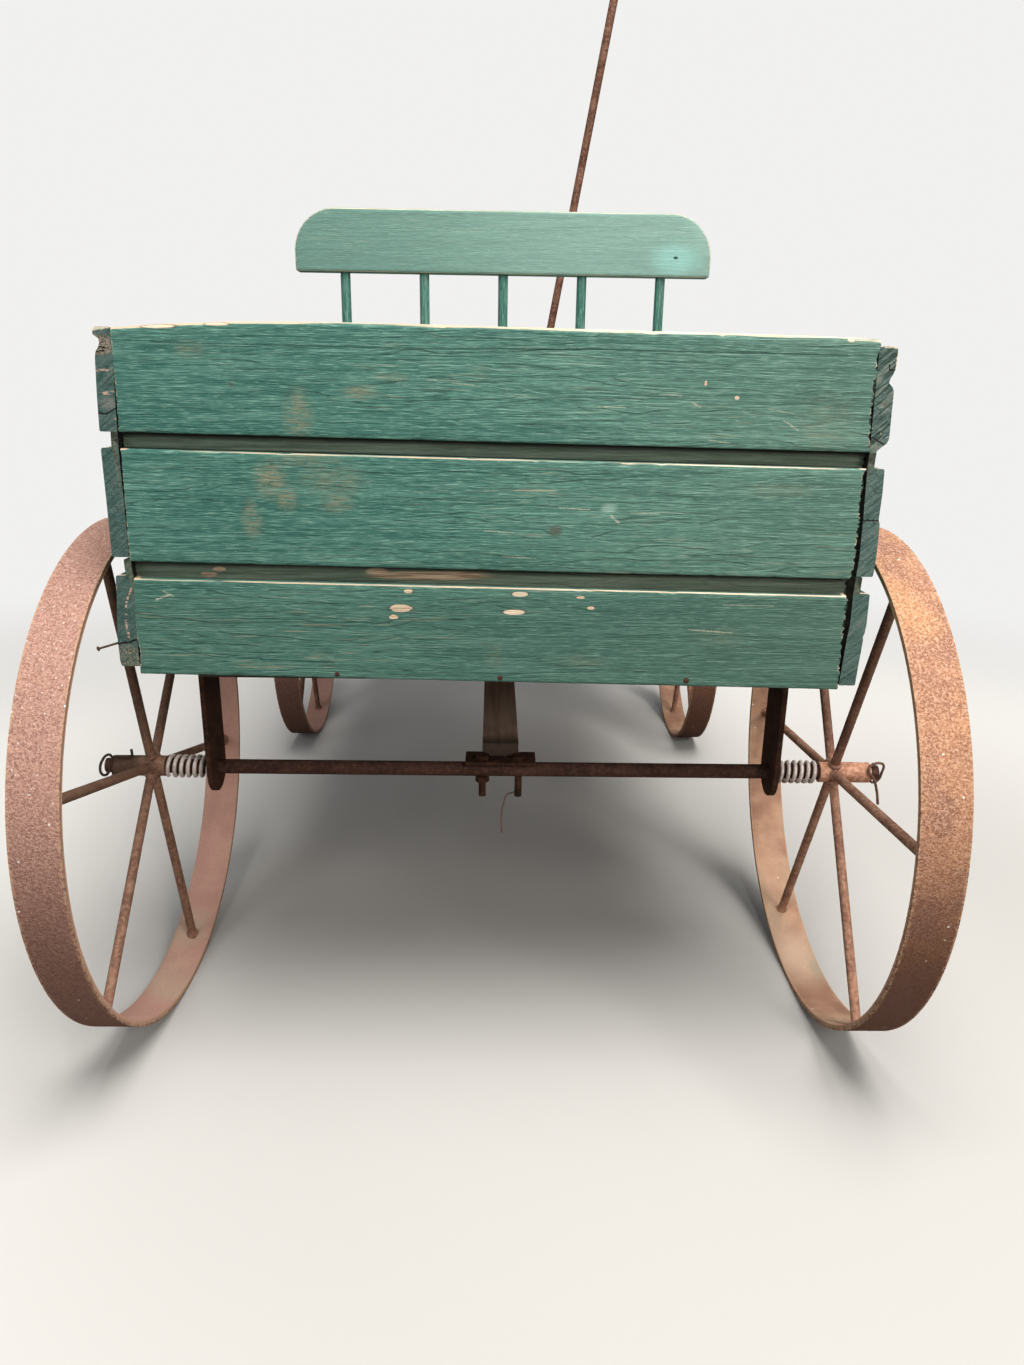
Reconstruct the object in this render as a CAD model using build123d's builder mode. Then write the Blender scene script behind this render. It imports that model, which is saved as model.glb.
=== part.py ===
from build123d import *
import os
from math import atan2, cos, degrees, hypot, radians, sin, tan

# Wooden pull wagon: a plank box on four steel strap wheels, with a bench seat, a turning
# front truck and a rod tongue. Millimetres, +Z up, +Y forward, +X to the wagon's right.
# The origin is on the ground, midway along the wagon.

os.makedirs("parts", exist_ok=True)

# Wheels and axles
rear_wheel_radius = 203.2
front_wheel_radius = 155.0
rim_width = 33.0
rim_thickness = 4.0
spoke_diameter = 7.5
spoke_count = 6
hub_diameter = 17.0
hub_inboard_length = 12.0
hub_outboard_length = 30.0
axle_diameter = 12.0
axle_stub = 7.5
wheelbase = 641.0
wheel_side_gap = 21.0
running_clearance = 0.05
seat_clearance = 0.1

# How far each wheel has rolled: the angle from its rear to its first spoke
wheel_turns = {
    "rear_left": 15.0,
    "rear_right": 5.0,
    "front_left": 10.0,
    "front_right": 10.0,
}

# Springs between the hangers and the hubs
spring_diameter = 21.5
spring_wire = 3.4
spring_turns = 7
coil_crest_share = 0.4
spring_end_gap = 0.3

# Linch clips at the axle ends
clip_wire = 2.2
clip_inset = 4.0
clip_top = 9.5
clip_reach = 16.0
clip_leg_drop = 23.0
clip_leg_inset = 6.0
clip_stub_below = 10.0
clip_bend_radius = 2.5

# Box
box_width = 490.0
box_bottom = 318.0
board_thickness = 10.5
groove_depth = 6.4
edge_break = 1.0
rear_overhang = 120.0
front_overhang = 122.0
floor_board_count = 5
floor_board_gap = 1.0
floor_thickness = 10.0
batten_width = 30.0
batten_thickness = 9.0
batten_top_gap = 2.0
rear_batten_inset = 270.0
front_batten_inset = 73.0

# Plank rows from the bottom up: face height, height of the recessed lap above it
plank_rows = (
    ("bottom", 65.0, 11.0),
    ("middle", 71.0, 10.0),
    ("top", 68.0, 0.0),
)

# Bench seat
seat_thickness = 12.0
seat_edge_radius = 4.0
seat_depth = 210.0
seat_back_from_axle = 440.0
seat_back_inset = 15.0
seat_back_width = 468.0
seat_back_height = 66.0
seat_back_thickness = 18.0
seat_back_corner = 46.0
seat_back_gap = 70.5
seat_back_offset = 3.0
spindle_count = 5
spindle_spacing = 89.7
spindle_diameter = 11.0
spindle_socket = 14.0
seat_cleat_width = 20.0
seat_cleat_height = 18.0
seat_cleat_length = 170.0
seat_cleat_gap = 0.5

# Bolsters, hangers and the reach
bolster_width = 60.0
bolster_height = 28.0
hanger_width = 40.0
hanger_thickness = 4.0
hanger_inset = 17.0
hanger_top_gap = 3.0
upper_bolster_half_length = 125.0
turn_plate_diameter = 140.0
turn_plate_thickness = 3.0
truck_bolster_width = 50.0
truck_bolster_height = 38.0
king_bolt_diameter = 10.0
king_head_diameter = 26.0
king_head_height = 4.0
king_head_radius = 2.4
king_nut_across = 17.0
king_nut_height = 8.0
king_thread_overrun = 4.0
reach_width = 30.0
reach_thickness = 11.0
reach_rear_gap = 7.0
reach_front_overrun = 24.0
reach_offset = 5.0
axle_plate_length = 58.0
axle_plate_thickness = 3.0
axle_plate_rear = 8.0
axle_plate_front = 16.0
axle_bolt_spacing = 30.0
axle_bolt_diameter = 6.0
axle_bolt_drop = 24.0
axle_bolt_head_diameter = 11.0
axle_bolt_head_height = 3.5
axle_nut_across = 10.0
axle_nut_height = 5.0

# Hounds, which carry the tongue's hinge ahead of the box
hinge_from_king = 222.0
hound_height = 34.0
hound_thickness = 5.0
hound_spread = 93.0
hound_ear_inner = 18.5
hound_axle_overrun = 20.0
hound_straight = 38.0
hound_ear_length = 75.0
hound_bend_radius = 25.0
hinge_pin_diameter = 8.0
hinge_pin_head_diameter = 14.0
hinge_pin_head_height = 3.5
hinge_pin_overrun = 5.0
stop_diameter = 7.0
stop_rise = 11.0
stop_gap = 0.2

# Tongue: a steel rod that leans back on its stop and sideways in its worn fork
tongue_diameter = 11.5
tongue_eye_radius = 11.0
tongue_eye_thickness = 10.5
tongue_eye_offset = 5.0
tongue_neck = 24.0
tongue_rod_length = 905.0
tongue_side_lean = 10.0
tongue_back_lean = 3.0
tongue_bend_radius = 60.0
handle_diameter = 9.5
handle_width = 134.0
handle_height = 88.0
handle_corner = 15.0
handle_seat = 1.5

# Values worked out from the sizes above
box_length = rear_overhang + wheelbase + front_overhang
box_height = sum(face + lap for _, face, lap in plank_rows)
box_top = box_bottom + box_height
floor_top = box_bottom + floor_thickness
inner_half_width = box_width / 2 - board_thickness
hinge_height = front_wheel_radius
overall_front = wheelbase + hinge_from_king + hound_height / 2
rear_axle_y = (rear_wheel_radius - overall_front) / 2
king_y = rear_axle_y + wheelbase
box_rear_y = rear_axle_y - rear_overhang
box_front_y = king_y + front_overhang
hinge_y = king_y + hinge_from_king
seat_back_y = rear_axle_y + seat_back_from_axle
half_track = box_width / 2 + wheel_side_gap + rim_width / 2
hub_inner_x = half_track - hub_inboard_length
hub_outer_x = half_track + hub_outboard_length
axle_half_length = hub_outer_x + axle_stub
hanger_inner = box_width / 2 - hanger_inset
hanger_outer = hanger_inner + hanger_thickness
upper_plate_z = box_bottom - bolster_height - turn_plate_thickness
lower_plate_z = upper_plate_z - turn_plate_thickness
truck_bolster_top = lower_plate_z
reach_bottom = rear_wheel_radius + axle_diameter / 2 + axle_plate_thickness

sides = (("left", -1), ("right", 1))
ends = (
    ("rear", rear_axle_y, rear_wheel_radius),
    ("front", king_y, front_wheel_radius),
)


def save(piece, name):
    """Labels a finished piece and writes its file."""
    piece.part.label = name
    export_step(piece.part, f"parts/{name}.step")


def plank_section(face_height, lap_height):
    """Corners of a plank's section: the depth in from its outer face, and the height."""
    top = face_height + lap_height
    if lap_height > 0:
        upper = [(edge_break, face_height), (groove_depth, face_height), (groove_depth, top)]
    else:
        upper = [(edge_break, face_height)]
    return [
        (0, edge_break),
        (0, face_height - edge_break),
        *upper,
        (board_thickness, top),
        (board_thickness, 0),
        (edge_break, 0),
    ]


# Box walls, three planks each
plank_z = box_bottom
for row, face_height, lap_height in plank_rows:
    for side, sign in sides:
        outer_face = Plane(
            origin=(sign * box_width / 2, box_rear_y, plank_z),
            x_dir=(-sign, 0, 0),
            z_dir=(0, sign, 0),
        )
        with BuildPart() as plank:
            with BuildSketch(outer_face):
                with BuildLine():
                    Polyline(*plank_section(face_height, lap_height), close=True)
                make_face()
            extrude(amount=sign * box_length)
        save(plank, f"side_{side}_{row}")
    for end, end_y, sign in (("tail", box_rear_y, -1), ("front", box_front_y, 1)):
        outer_face = Plane(
            origin=(0, end_y, plank_z),
            x_dir=(0, -sign, 0),
            z_dir=(-sign, 0, 0),
        )
        with BuildPart() as plank:
            with BuildSketch(outer_face):
                with BuildLine():
                    Polyline(*plank_section(face_height, lap_height), close=True)
                make_face()
            extrude(amount=inner_half_width, both=True)
        save(plank, f"{end}_{row}")
    plank_z += face_height + lap_height

# Floor boards, with the hole for the king bolt in the middle one
floor_length = box_length - 2 * board_thickness
floor_width = 2 * inner_half_width
floor_board_width = (floor_width - (floor_board_count - 1) * floor_board_gap) / floor_board_count
floor_mid_y = (box_rear_y + box_front_y) / 2
with BuildPart() as floor_boards:
    with BuildSketch(Plane.XY.offset(box_bottom)):
        with Locations((0, floor_mid_y)):
            with GridLocations(floor_board_width + floor_board_gap, 0, floor_board_count, 1):
                Rectangle(floor_board_width, floor_length)
        with Locations((0, king_y)):
            Circle(king_bolt_diameter / 2 + seat_clearance, mode=Mode.SUBTRACT)
    extrude(amount=floor_thickness)
save(floor_boards, "floor_boards")

# Battens nailed upright inside the side walls
batten_height = box_top - floor_top - batten_top_gap
with BuildPart() as battens:
    with BuildSketch(Plane.XY.offset(floor_top)):
        for batten_y in (box_rear_y + rear_batten_inset, box_front_y - front_batten_inset):
            for side, sign in sides:
                batten_x = sign * (inner_half_width - batten_thickness / 2)
                with Locations((batten_x, batten_y)):
                    Rectangle(batten_thickness, batten_width)
    extrude(amount=batten_height)
save(battens, "battens")

# Bench seat
seat_rear_y = seat_back_y - seat_back_inset
seat_mid_y = seat_rear_y + seat_depth / 2
with BuildPart() as seat_plank:
    with BuildSketch(Plane.XY.offset(box_top)):
        with Locations((0, seat_mid_y)):
            Rectangle(box_width, seat_depth)
    extrude(amount=seat_thickness)
    fillet(seat_plank.edges().filter_by(Axis.X).group_by(Axis.Z)[-1], radius=seat_edge_radius)
    with BuildSketch(Plane.XY.offset(box_top + seat_thickness)):
        with Locations((seat_back_offset, seat_back_y)):
            with GridLocations(spindle_spacing, 0, spindle_count, 1):
                Circle(spindle_diameter / 2)
    extrude(amount=-seat_thickness, mode=Mode.SUBTRACT)
save(seat_plank, "seat_plank")

with BuildPart() as seat_cleats:
    with BuildSketch(Plane.XY.offset(box_top)):
        for side, sign in sides:
            cleat_x = sign * (inner_half_width - seat_cleat_gap - seat_cleat_width / 2)
            with Locations((cleat_x, seat_mid_y)):
                Rectangle(seat_cleat_width, seat_cleat_length)
    extrude(amount=-seat_cleat_height)
save(seat_cleats, "seat_cleats")

seat_back_bottom = box_top + seat_thickness + seat_back_gap
with BuildPart() as seat_spindles:
    with BuildSketch(Plane.XY.offset(box_top)):
        with Locations((seat_back_offset, seat_back_y)):
            with GridLocations(spindle_spacing, 0, spindle_count, 1):
                Circle(spindle_diameter / 2)
    extrude(amount=seat_thickness + seat_back_gap + spindle_socket)
save(seat_spindles, "seat_spindles")

seat_back_plane = Plane(
    origin=(seat_back_offset, seat_back_y, seat_back_bottom),
    x_dir=(1, 0, 0),
    z_dir=(0, -1, 0),
)
with BuildPart() as seat_back:
    with BuildSketch(seat_back_plane) as back_outline:
        Rectangle(seat_back_width, seat_back_height, align=(Align.CENTER, Align.MIN))
        fillet(back_outline.vertices().group_by(Axis.Y)[-1], radius=seat_back_corner)
    extrude(amount=seat_back_thickness / 2, both=True)
    with BuildSketch(Plane.XY.offset(seat_back_bottom)):
        with Locations((seat_back_offset, seat_back_y)):
            with GridLocations(spindle_spacing, 0, spindle_count, 1):
                Circle(spindle_diameter / 2)
    extrude(amount=spindle_socket, mode=Mode.SUBTRACT)
save(seat_back, "seat_back")

# Bolsters under the floor
with BuildPart() as rear_bolster:
    with BuildSketch(Plane.XY.offset(box_bottom)):
        with Locations((0, rear_axle_y)):
            Rectangle(2 * hanger_inner, bolster_width)
    extrude(amount=-bolster_height)
save(rear_bolster, "rear_bolster")

with BuildPart() as front_bolster:
    with BuildSketch(Plane.XY.offset(box_bottom)):
        with Locations((0, king_y)):
            Rectangle(2 * upper_bolster_half_length, bolster_width)
            Circle(king_bolt_diameter / 2 + seat_clearance, mode=Mode.SUBTRACT)
    extrude(amount=-bolster_height)
save(front_bolster, "front_bolster")

for plate_name, plate_bottom, bore_clearance in (
    ("turn_plate_upper", upper_plate_z, seat_clearance),
    ("turn_plate_lower", lower_plate_z, running_clearance),
):
    with BuildPart() as turn_plate:
        with BuildSketch(Plane.XY.offset(plate_bottom)):
            with Locations((0, king_y)):
                Circle(turn_plate_diameter / 2)
                Circle(king_bolt_diameter / 2 + bore_clearance, mode=Mode.SUBTRACT)
        extrude(amount=turn_plate_thickness)
    save(turn_plate, plate_name)

with BuildPart() as truck_bolster:
    with BuildSketch(Plane.XY.offset(truck_bolster_top)):
        with Locations((0, king_y)):
            Rectangle(2 * hanger_inner, truck_bolster_width)
            Circle(king_bolt_diameter / 2 + running_clearance, mode=Mode.SUBTRACT)
    extrude(amount=-truck_bolster_height)
save(truck_bolster, "truck_bolster")

# Strap hangers, which carry the axles from the bolsters' ends
hanger_tops = {
    "rear": box_bottom - hanger_top_gap,
    "front": truck_bolster_top - hanger_top_gap,
}
for end, axle_y, axle_z in ends:
    for side, sign in sides:
        strap_plane = Plane(
            origin=(sign * hanger_inner, axle_y, axle_z), x_dir=(0, 1, 0), z_dir=(1, 0, 0)
        )
        strap_rise = hanger_tops[end] - axle_z
        with BuildPart() as hanger:
            with BuildSketch(strap_plane):
                Circle(hanger_width / 2)
                Rectangle(hanger_width, strap_rise, align=(Align.CENTER, Align.MIN))
                Circle(axle_diameter / 2 + seat_clearance, mode=Mode.SUBTRACT)
            extrude(amount=sign * hanger_thickness)
        save(hanger, f"hanger_{end}_{side}")

# Axles, with a hole near each end for the linch clip
clip_x = axle_half_length - clip_inset
for end, axle_y, axle_z in ends:
    with BuildPart() as axle:
        with BuildSketch(Plane.YZ):
            with Locations((axle_y, axle_z)):
                Circle(axle_diameter / 2)
        extrude(amount=axle_half_length, both=True)
        with BuildSketch(Plane.XY.offset(axle_z)):
            for side, sign in sides:
                with Locations((sign * clip_x, axle_y)):
                    Circle(clip_wire / 2 + seat_clearance)
            if end == "rear":
                with Locations((reach_offset, axle_y)):
                    with GridLocations(axle_bolt_spacing, 0, 2, 1):
                        Circle(axle_bolt_diameter / 2 + seat_clearance)
        extrude(amount=axle_diameter, both=True, mode=Mode.SUBTRACT)
    save(axle, f"axle_{end}")

# Coil springs, drawn as sleeves with a ridge for each coil
spring_inner_x = hanger_outer
spring_outer_x = hub_inner_x - spring_end_gap
coil_pitch = (spring_outer_x - spring_inner_x) / spring_turns
coil_crest = spring_diameter / 2
coil_valley = coil_crest - spring_wire / 2
coil_outline = [(spring_inner_x, coil_crest - spring_wire), (spring_inner_x, coil_valley)]
for turn in range(spring_turns):
    coil_start = spring_inner_x + turn * coil_pitch
    coil_outline += [
        (coil_start + coil_pitch * (1 - coil_crest_share) / 2, coil_crest),
        (coil_start + coil_pitch * (1 + coil_crest_share) / 2, coil_crest),
        (coil_start + coil_pitch, coil_valley),
    ]
coil_outline += [(spring_outer_x, coil_crest - spring_wire)]
for end, axle_y, axle_z in ends:
    with BuildPart() as springs:
        for side, sign in sides:
            section = Plane(origin=(0, axle_y, axle_z), x_dir=(sign, 0, 0), z_dir=(0, -sign, 0))
            with BuildSketch(section):
                with BuildLine():
                    Polyline(*coil_outline, close=True)
                make_face()
            revolve(axis=Axis((0, axle_y, axle_z), (1, 0, 0)))
    save(springs, f"springs_{end}")

# Linch clips, bent from wire
for end, axle_y, axle_z in ends:
    clip_plane = Plane(origin=(0, axle_y, axle_z), x_dir=(1, 0, 0), z_dir=(0, -1, 0))
    with BuildPart() as clips:
        for side, sign in sides:
            with BuildLine(clip_plane) as bend:
                FilletPolyline(
                    (sign * clip_x, -clip_stub_below),
                    (sign * clip_x, clip_top),
                    (sign * (clip_x + clip_reach), clip_top),
                    (sign * (clip_x + clip_reach - clip_leg_inset), -clip_leg_drop),
                    radius=clip_bend_radius,
                )
            with BuildSketch(Plane(origin=bend.wires()[0] @ 0, z_dir=bend.wires()[0] % 0)):
                Circle(clip_wire / 2)
            sweep(path=bend.wires()[0])
    save(clips, f"linch_clips_{end}")

# Rear axle plate, its bolts and the reach, which meets the axle a little to the right
axle_top = rear_wheel_radius + axle_diameter / 2
with BuildPart() as axle_plate:
    with BuildSketch(Plane.XY.offset(axle_top)):
        with Locations((reach_offset, rear_axle_y - axle_plate_rear)):
            Rectangle(
                axle_plate_length,
                axle_plate_rear + axle_plate_front,
                align=(Align.CENTER, Align.MIN),
            )
        with Locations((reach_offset, rear_axle_y)):
            with GridLocations(axle_bolt_spacing, 0, 2, 1):
                Circle(axle_bolt_diameter / 2 + seat_clearance, mode=Mode.SUBTRACT)
    extrude(amount=axle_plate_thickness)
save(axle_plate, "axle_plate")

axle_bottom = rear_wheel_radius - axle_diameter / 2
with BuildPart() as axle_bolts:
    with BuildSketch(Plane.XY.offset(reach_bottom)):
        with Locations((reach_offset, rear_axle_y)):
            with GridLocations(axle_bolt_spacing, 0, 2, 1):
                Circle(axle_bolt_head_diameter / 2)
    extrude(amount=axle_bolt_head_height)
    with BuildSketch(Plane.XY.offset(rear_wheel_radius - axle_bolt_drop)):
        with Locations((reach_offset, rear_axle_y)):
            with GridLocations(axle_bolt_spacing, 0, 2, 1):
                Circle(axle_bolt_diameter / 2)
    extrude(amount=reach_bottom + axle_bolt_drop - rear_wheel_radius)
    with BuildSketch(Plane.XY.offset(axle_bottom)):
        with Locations((reach_offset - axle_bolt_spacing / 2, rear_axle_y)):
            RegularPolygon(axle_nut_across / 2, 6, major_radius=False)
    extrude(amount=-axle_nut_height)
save(axle_bolts, "axle_bolts")

reach_rear_length = hypot(wheelbase, reach_offset) - reach_rear_gap
reach_turn = degrees(atan2(reach_offset, wheelbase))
with BuildPart() as reach:
    with BuildSketch(Plane.XY.offset(reach_bottom)):
        with Locations(Location((0, king_y), reach_turn)):
            with Locations((0, (reach_front_overrun - reach_rear_length) / 2)):
                Rectangle(reach_width, reach_rear_length + reach_front_overrun)
            Circle(king_bolt_diameter / 2 + seat_clearance, mode=Mode.SUBTRACT)
    extrude(amount=reach_thickness)
save(reach, "reach")

king_bottom = reach_bottom - king_nut_height - king_thread_overrun
with BuildPart() as king_bolt:
    with BuildSketch(Plane.XY.offset(king_bottom)):
        with Locations((0, king_y)):
            Circle(king_bolt_diameter / 2)
    extrude(amount=floor_top - king_bottom)
    with BuildSketch(Plane.XY.offset(floor_top)):
        with Locations((0, king_y)):
            Circle(king_head_diameter / 2)
    extrude(amount=king_head_height)
    fillet(king_bolt.edges().sort_by(Axis.Z)[-1], radius=king_head_radius)
    with BuildSketch(Plane.XY.offset(reach_bottom)):
        with Locations((0, king_y)):
            RegularPolygon(king_nut_across / 2, 6, major_radius=False)
    extrude(amount=-king_nut_height)
save(king_bolt, "king_bolt")

# Hounds: bent bars on edge from the front axle to the tongue's hinge
ear_middle_x = hound_ear_inner + hound_thickness / 2
for side, sign in sides:
    with BuildPart() as hound:
        with BuildSketch(Plane.XY.offset(hinge_height - hound_height / 2)):
            with BuildLine():
                FilletPolyline(
                    (sign * hound_spread, king_y - hound_axle_overrun),
                    (sign * hound_spread, king_y + hound_straight),
                    (sign * ear_middle_x, hinge_y - hound_ear_length + hound_height / 2),
                    (sign * ear_middle_x, hinge_y + hound_height / 2),
                    radius=hound_bend_radius,
                )
            trace(line_width=hound_thickness)
        extrude(amount=hound_height)
        with BuildSketch(Plane.YZ.offset(sign * hound_spread / 2)):
            with Locations(((king_y + hinge_y) / 2, hinge_height)):
                SlotOverall(
                    hinge_from_king + hound_axle_overrun + hound_height / 2,
                    hound_height,
                )
            with Locations((king_y - hound_axle_overrun / 2, hinge_height)):
                Rectangle(hound_axle_overrun, hound_height)
        extrude(amount=hound_spread, both=True, mode=Mode.INTERSECT)
        with BuildSketch(Plane.YZ):
            with Locations((king_y, hinge_height)):
                Circle(axle_diameter / 2 + seat_clearance)
            with Locations((hinge_y, hinge_height)):
                Circle(hinge_pin_diameter / 2 + seat_clearance)
        extrude(amount=2 * hound_spread, both=True, mode=Mode.SUBTRACT)
    save(hound, f"hound_{side}")

ear_outer_x = hound_ear_inner + hound_thickness
with BuildPart() as hinge_pin:
    with BuildSketch(Plane.YZ.offset(-ear_outer_x)):
        with Locations((hinge_y, hinge_height)):
            Circle(hinge_pin_diameter / 2)
    extrude(amount=2 * ear_outer_x + hinge_pin_overrun)
    with BuildSketch(Plane.YZ.offset(-ear_outer_x)):
        with Locations((hinge_y, hinge_height)):
            Circle(hinge_pin_head_diameter / 2)
    extrude(amount=-hinge_pin_head_height)
save(hinge_pin, "hinge_pin")

# The stop pin lies behind the tongue's neck, which leans back on it
back_lean = radians(tongue_back_lean)
neck_back = tongue_diameter / 2 / cos(back_lean) + stop_rise * tan(back_lean)
stop_y = hinge_y - neck_back - stop_diameter / 2 - stop_gap
with BuildPart() as stop_pin:
    with BuildSketch(Plane.YZ):
        with Locations((stop_y, hinge_height + stop_rise)):
            Circle(stop_diameter / 2)
    extrude(amount=hound_ear_inner, both=True)
save(stop_pin, "stop_pin")

# Tongue
tongue_plane = Plane(
    origin=(0, hinge_y, hinge_height),
    x_dir=(1, 0, 0),
    z_dir=(0, -cos(back_lean), -sin(back_lean)),
)
lean_sin = sin(radians(tongue_side_lean))
lean_cos = cos(radians(tongue_side_lean))
loop_foot = (
    tongue_eye_offset + tongue_rod_length * lean_sin,
    tongue_neck + tongue_rod_length * lean_cos,
)
# The loop's rounded foot lies this far above the corner that its sides would meet in
loop_foot_rise = handle_corner * (hypot(handle_width / 2, handle_height) / (handle_width / 2) - 1)
rod_reach = tongue_rod_length + loop_foot_rise - handle_diameter / 2 + handle_seat
rod_end = (
    tongue_eye_offset + rod_reach * lean_sin,
    tongue_neck + rod_reach * lean_cos,
)
handle_plane = Plane(
    origin=tongue_plane.from_local_coords(Vector(*loop_foot)),
    x_dir=tongue_plane.x_dir.rotate(Axis((0, 0, 0), tongue_plane.z_dir), -tongue_side_lean),
    z_dir=tongue_plane.z_dir,
)
with BuildPart() as tongue_handle:
    with BuildLine(handle_plane) as handle_line:
        FilletPolyline(
            (0, 0),
            (handle_width / 2, handle_height),
            (-handle_width / 2, handle_height),
            radius=handle_corner,
            close=True,
        )
    handle_wire = handle_line.wires()[0]
    with BuildSketch(Plane(origin=handle_wire @ 0, z_dir=handle_wire % 0)):
        Circle(handle_diameter / 2)
    sweep(path=handle_wire)
save(tongue_handle, "tongue_handle")

with BuildPart() as tongue_rod:
    with BuildSketch(Plane.YZ.offset(tongue_eye_offset)):
        with Locations((hinge_y, hinge_height)):
            Circle(tongue_eye_radius)
    extrude(amount=tongue_eye_thickness / 2, both=True)
    with BuildLine(tongue_plane) as rod_line:
        FilletPolyline(
            (tongue_eye_offset, 0),
            (tongue_eye_offset, tongue_neck),
            rod_end,
            radius=tongue_bend_radius,
        )
    rod_wire = rod_line.wires()[0]
    with BuildSketch(Plane(origin=rod_wire @ 0, z_dir=rod_wire % 0)):
        Circle(tongue_diameter / 2)
    sweep(path=rod_wire)
    with BuildSketch(Plane.YZ):
        with Locations((hinge_y, hinge_height)):
            Circle(hinge_pin_diameter / 2 + running_clearance)
    extrude(amount=hound_ear_inner, both=True, mode=Mode.SUBTRACT)
    add(tongue_handle.part, mode=Mode.SUBTRACT)
save(tongue_rod, "tongue_rod")

# Wheels: a strap rim, rod spokes and a tube hub
for end, axle_y, axle_z in ends:
    rim_inner = axle_z - rim_thickness
    for side, sign in sides:
        wheel_plane = Plane(
            origin=(sign * half_track, axle_y, axle_z), x_dir=(0, 1, 0), z_dir=(1, 0, 0)
        )
        with BuildPart() as rim:
            with BuildSketch(wheel_plane):
                Circle(axle_z)
                Circle(rim_inner, mode=Mode.SUBTRACT)
            extrude(amount=rim_width / 2, both=True)
        save(rim, f"wheel_{end}_{side}_rim")

        with BuildPart() as hub:
            with BuildSketch(wheel_plane):
                Circle(hub_diameter / 2)
                Circle(axle_diameter / 2 + running_clearance, mode=Mode.SUBTRACT)
            extrude(amount=sign * hub_outboard_length)
            extrude(hub.faces().sort_by(Axis.X)[0 if sign > 0 else -1], amount=hub_inboard_length)
        save(hub, f"wheel_{end}_{side}_hub")

        with BuildPart() as spokes:
            for spoke in range(spoke_count):
                turn = wheel_turns[f"{end}_{side}"] + spoke * 360 / spoke_count
                spoke_angle = radians(turn)
                along = (0, -cos(spoke_angle), sin(spoke_angle))
                with BuildSketch(Plane(origin=wheel_plane.origin, z_dir=along)):
                    Circle(spoke_diameter / 2)
                extrude(amount=axle_z)
            with BuildSketch(wheel_plane):
                Circle(rim_inner)
                Circle(hub_diameter / 2, mode=Mode.SUBTRACT)
            extrude(amount=spoke_diameter, both=True, mode=Mode.INTERSECT)
        save(spokes, f"wheel_{end}_{side}_spokes")
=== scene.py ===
import random
from math import cos, hypot, pi, radians, sin

import bmesh
import bpy
from mathutils import Matrix, Vector


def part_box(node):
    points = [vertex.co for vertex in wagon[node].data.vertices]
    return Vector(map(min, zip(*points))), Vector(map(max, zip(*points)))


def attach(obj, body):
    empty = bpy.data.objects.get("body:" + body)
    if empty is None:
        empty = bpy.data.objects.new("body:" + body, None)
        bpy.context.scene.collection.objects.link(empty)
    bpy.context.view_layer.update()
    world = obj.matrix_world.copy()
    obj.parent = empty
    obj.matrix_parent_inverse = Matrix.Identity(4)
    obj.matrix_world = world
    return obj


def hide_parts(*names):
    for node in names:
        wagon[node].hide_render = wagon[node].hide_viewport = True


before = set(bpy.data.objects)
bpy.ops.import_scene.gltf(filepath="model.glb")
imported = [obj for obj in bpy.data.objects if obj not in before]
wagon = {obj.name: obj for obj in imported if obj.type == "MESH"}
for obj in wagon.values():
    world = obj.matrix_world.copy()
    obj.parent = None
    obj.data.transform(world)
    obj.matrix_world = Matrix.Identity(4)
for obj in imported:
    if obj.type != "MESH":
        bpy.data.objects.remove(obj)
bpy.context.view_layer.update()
MM = 0.001

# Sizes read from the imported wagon
REAR_Y = sum(c.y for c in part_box("axle_rear")) / 2
REAR_Z = sum(c.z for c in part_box("axle_rear")) / 2
FRONT_Y = sum(c.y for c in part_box("axle_front")) / 2
FRONT_Z = sum(c.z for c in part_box("axle_front")) / 2
TAIL_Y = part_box("side_left_bottom")[0].y
NOSE_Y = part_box("side_left_bottom")[1].y
BOARD = 10.5 * MM
GROOVE = 6.4 * MM
HALF_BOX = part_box("side_right_bottom")[1].x
HALF_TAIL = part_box("tail_bottom")[1].x
ROWS = ("bottom", "middle", "top")
FACES = {"bottom": 65 * MM, "middle": 71 * MM, "top": 68 * MM}
ENDS = (("rear", REAR_Y, REAR_Z, "box"), ("front", FRONT_Y, FRONT_Z, "front_truck"))
SIDES = (("left", -1), ("right", 1))

# Colours of the paint and the wood under it, and of painted shade and light on them, as shares of red, green
# and blue light
GREEN_DEEP = (0.026, 0.124, 0.102)
GREEN = (0.063, 0.196, 0.158)
GREEN_PALE = (0.165, 0.350, 0.290)
GREEN_DARK = (0.012, 0.050, 0.040)
GREEN_MINT = (0.290, 0.500, 0.400)
GREEN_PALER_RIGHT = (0.240, 0.290, 0.210)
GREEN_SHADED_LOW = (0.036, 0.070, 0.050)
GREEN_SPECK = (0.50, 0.58, 0.48)
RUBBED = (0.240, 0.236, 0.152)
TAN = (0.40, 0.36, 0.26)
SCRATCHED = (0.52, 0.50, 0.38)
BARE = (0.600, 0.420, 0.275)
CREAM = (0.700, 0.630, 0.490)
CREAM_DULL = (0.470, 0.410, 0.310)
OLIVE = (0.066, 0.074, 0.046)
OLIVE_PALE = (0.160, 0.180, 0.130)
BLACK = (0.006, 0.005, 0.004)
KNOT = (0.075, 0.060, 0.045)
KNOT_PALE = (0.300, 0.450, 0.380)
CHIP_RIM = (0.100, 0.070, 0.045)
SCUFF_DARK = (0.190, 0.120, 0.070)
SCUFF_PALE = (0.560, 0.410, 0.280)
SEAT = {"left": (0.045, 0.130, 0.108), "middle": (0.255, 0.400, 0.345), "right": (0.400, 0.580, 0.540),
        "aqua": (0.300, 0.640, 0.590)}
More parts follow.
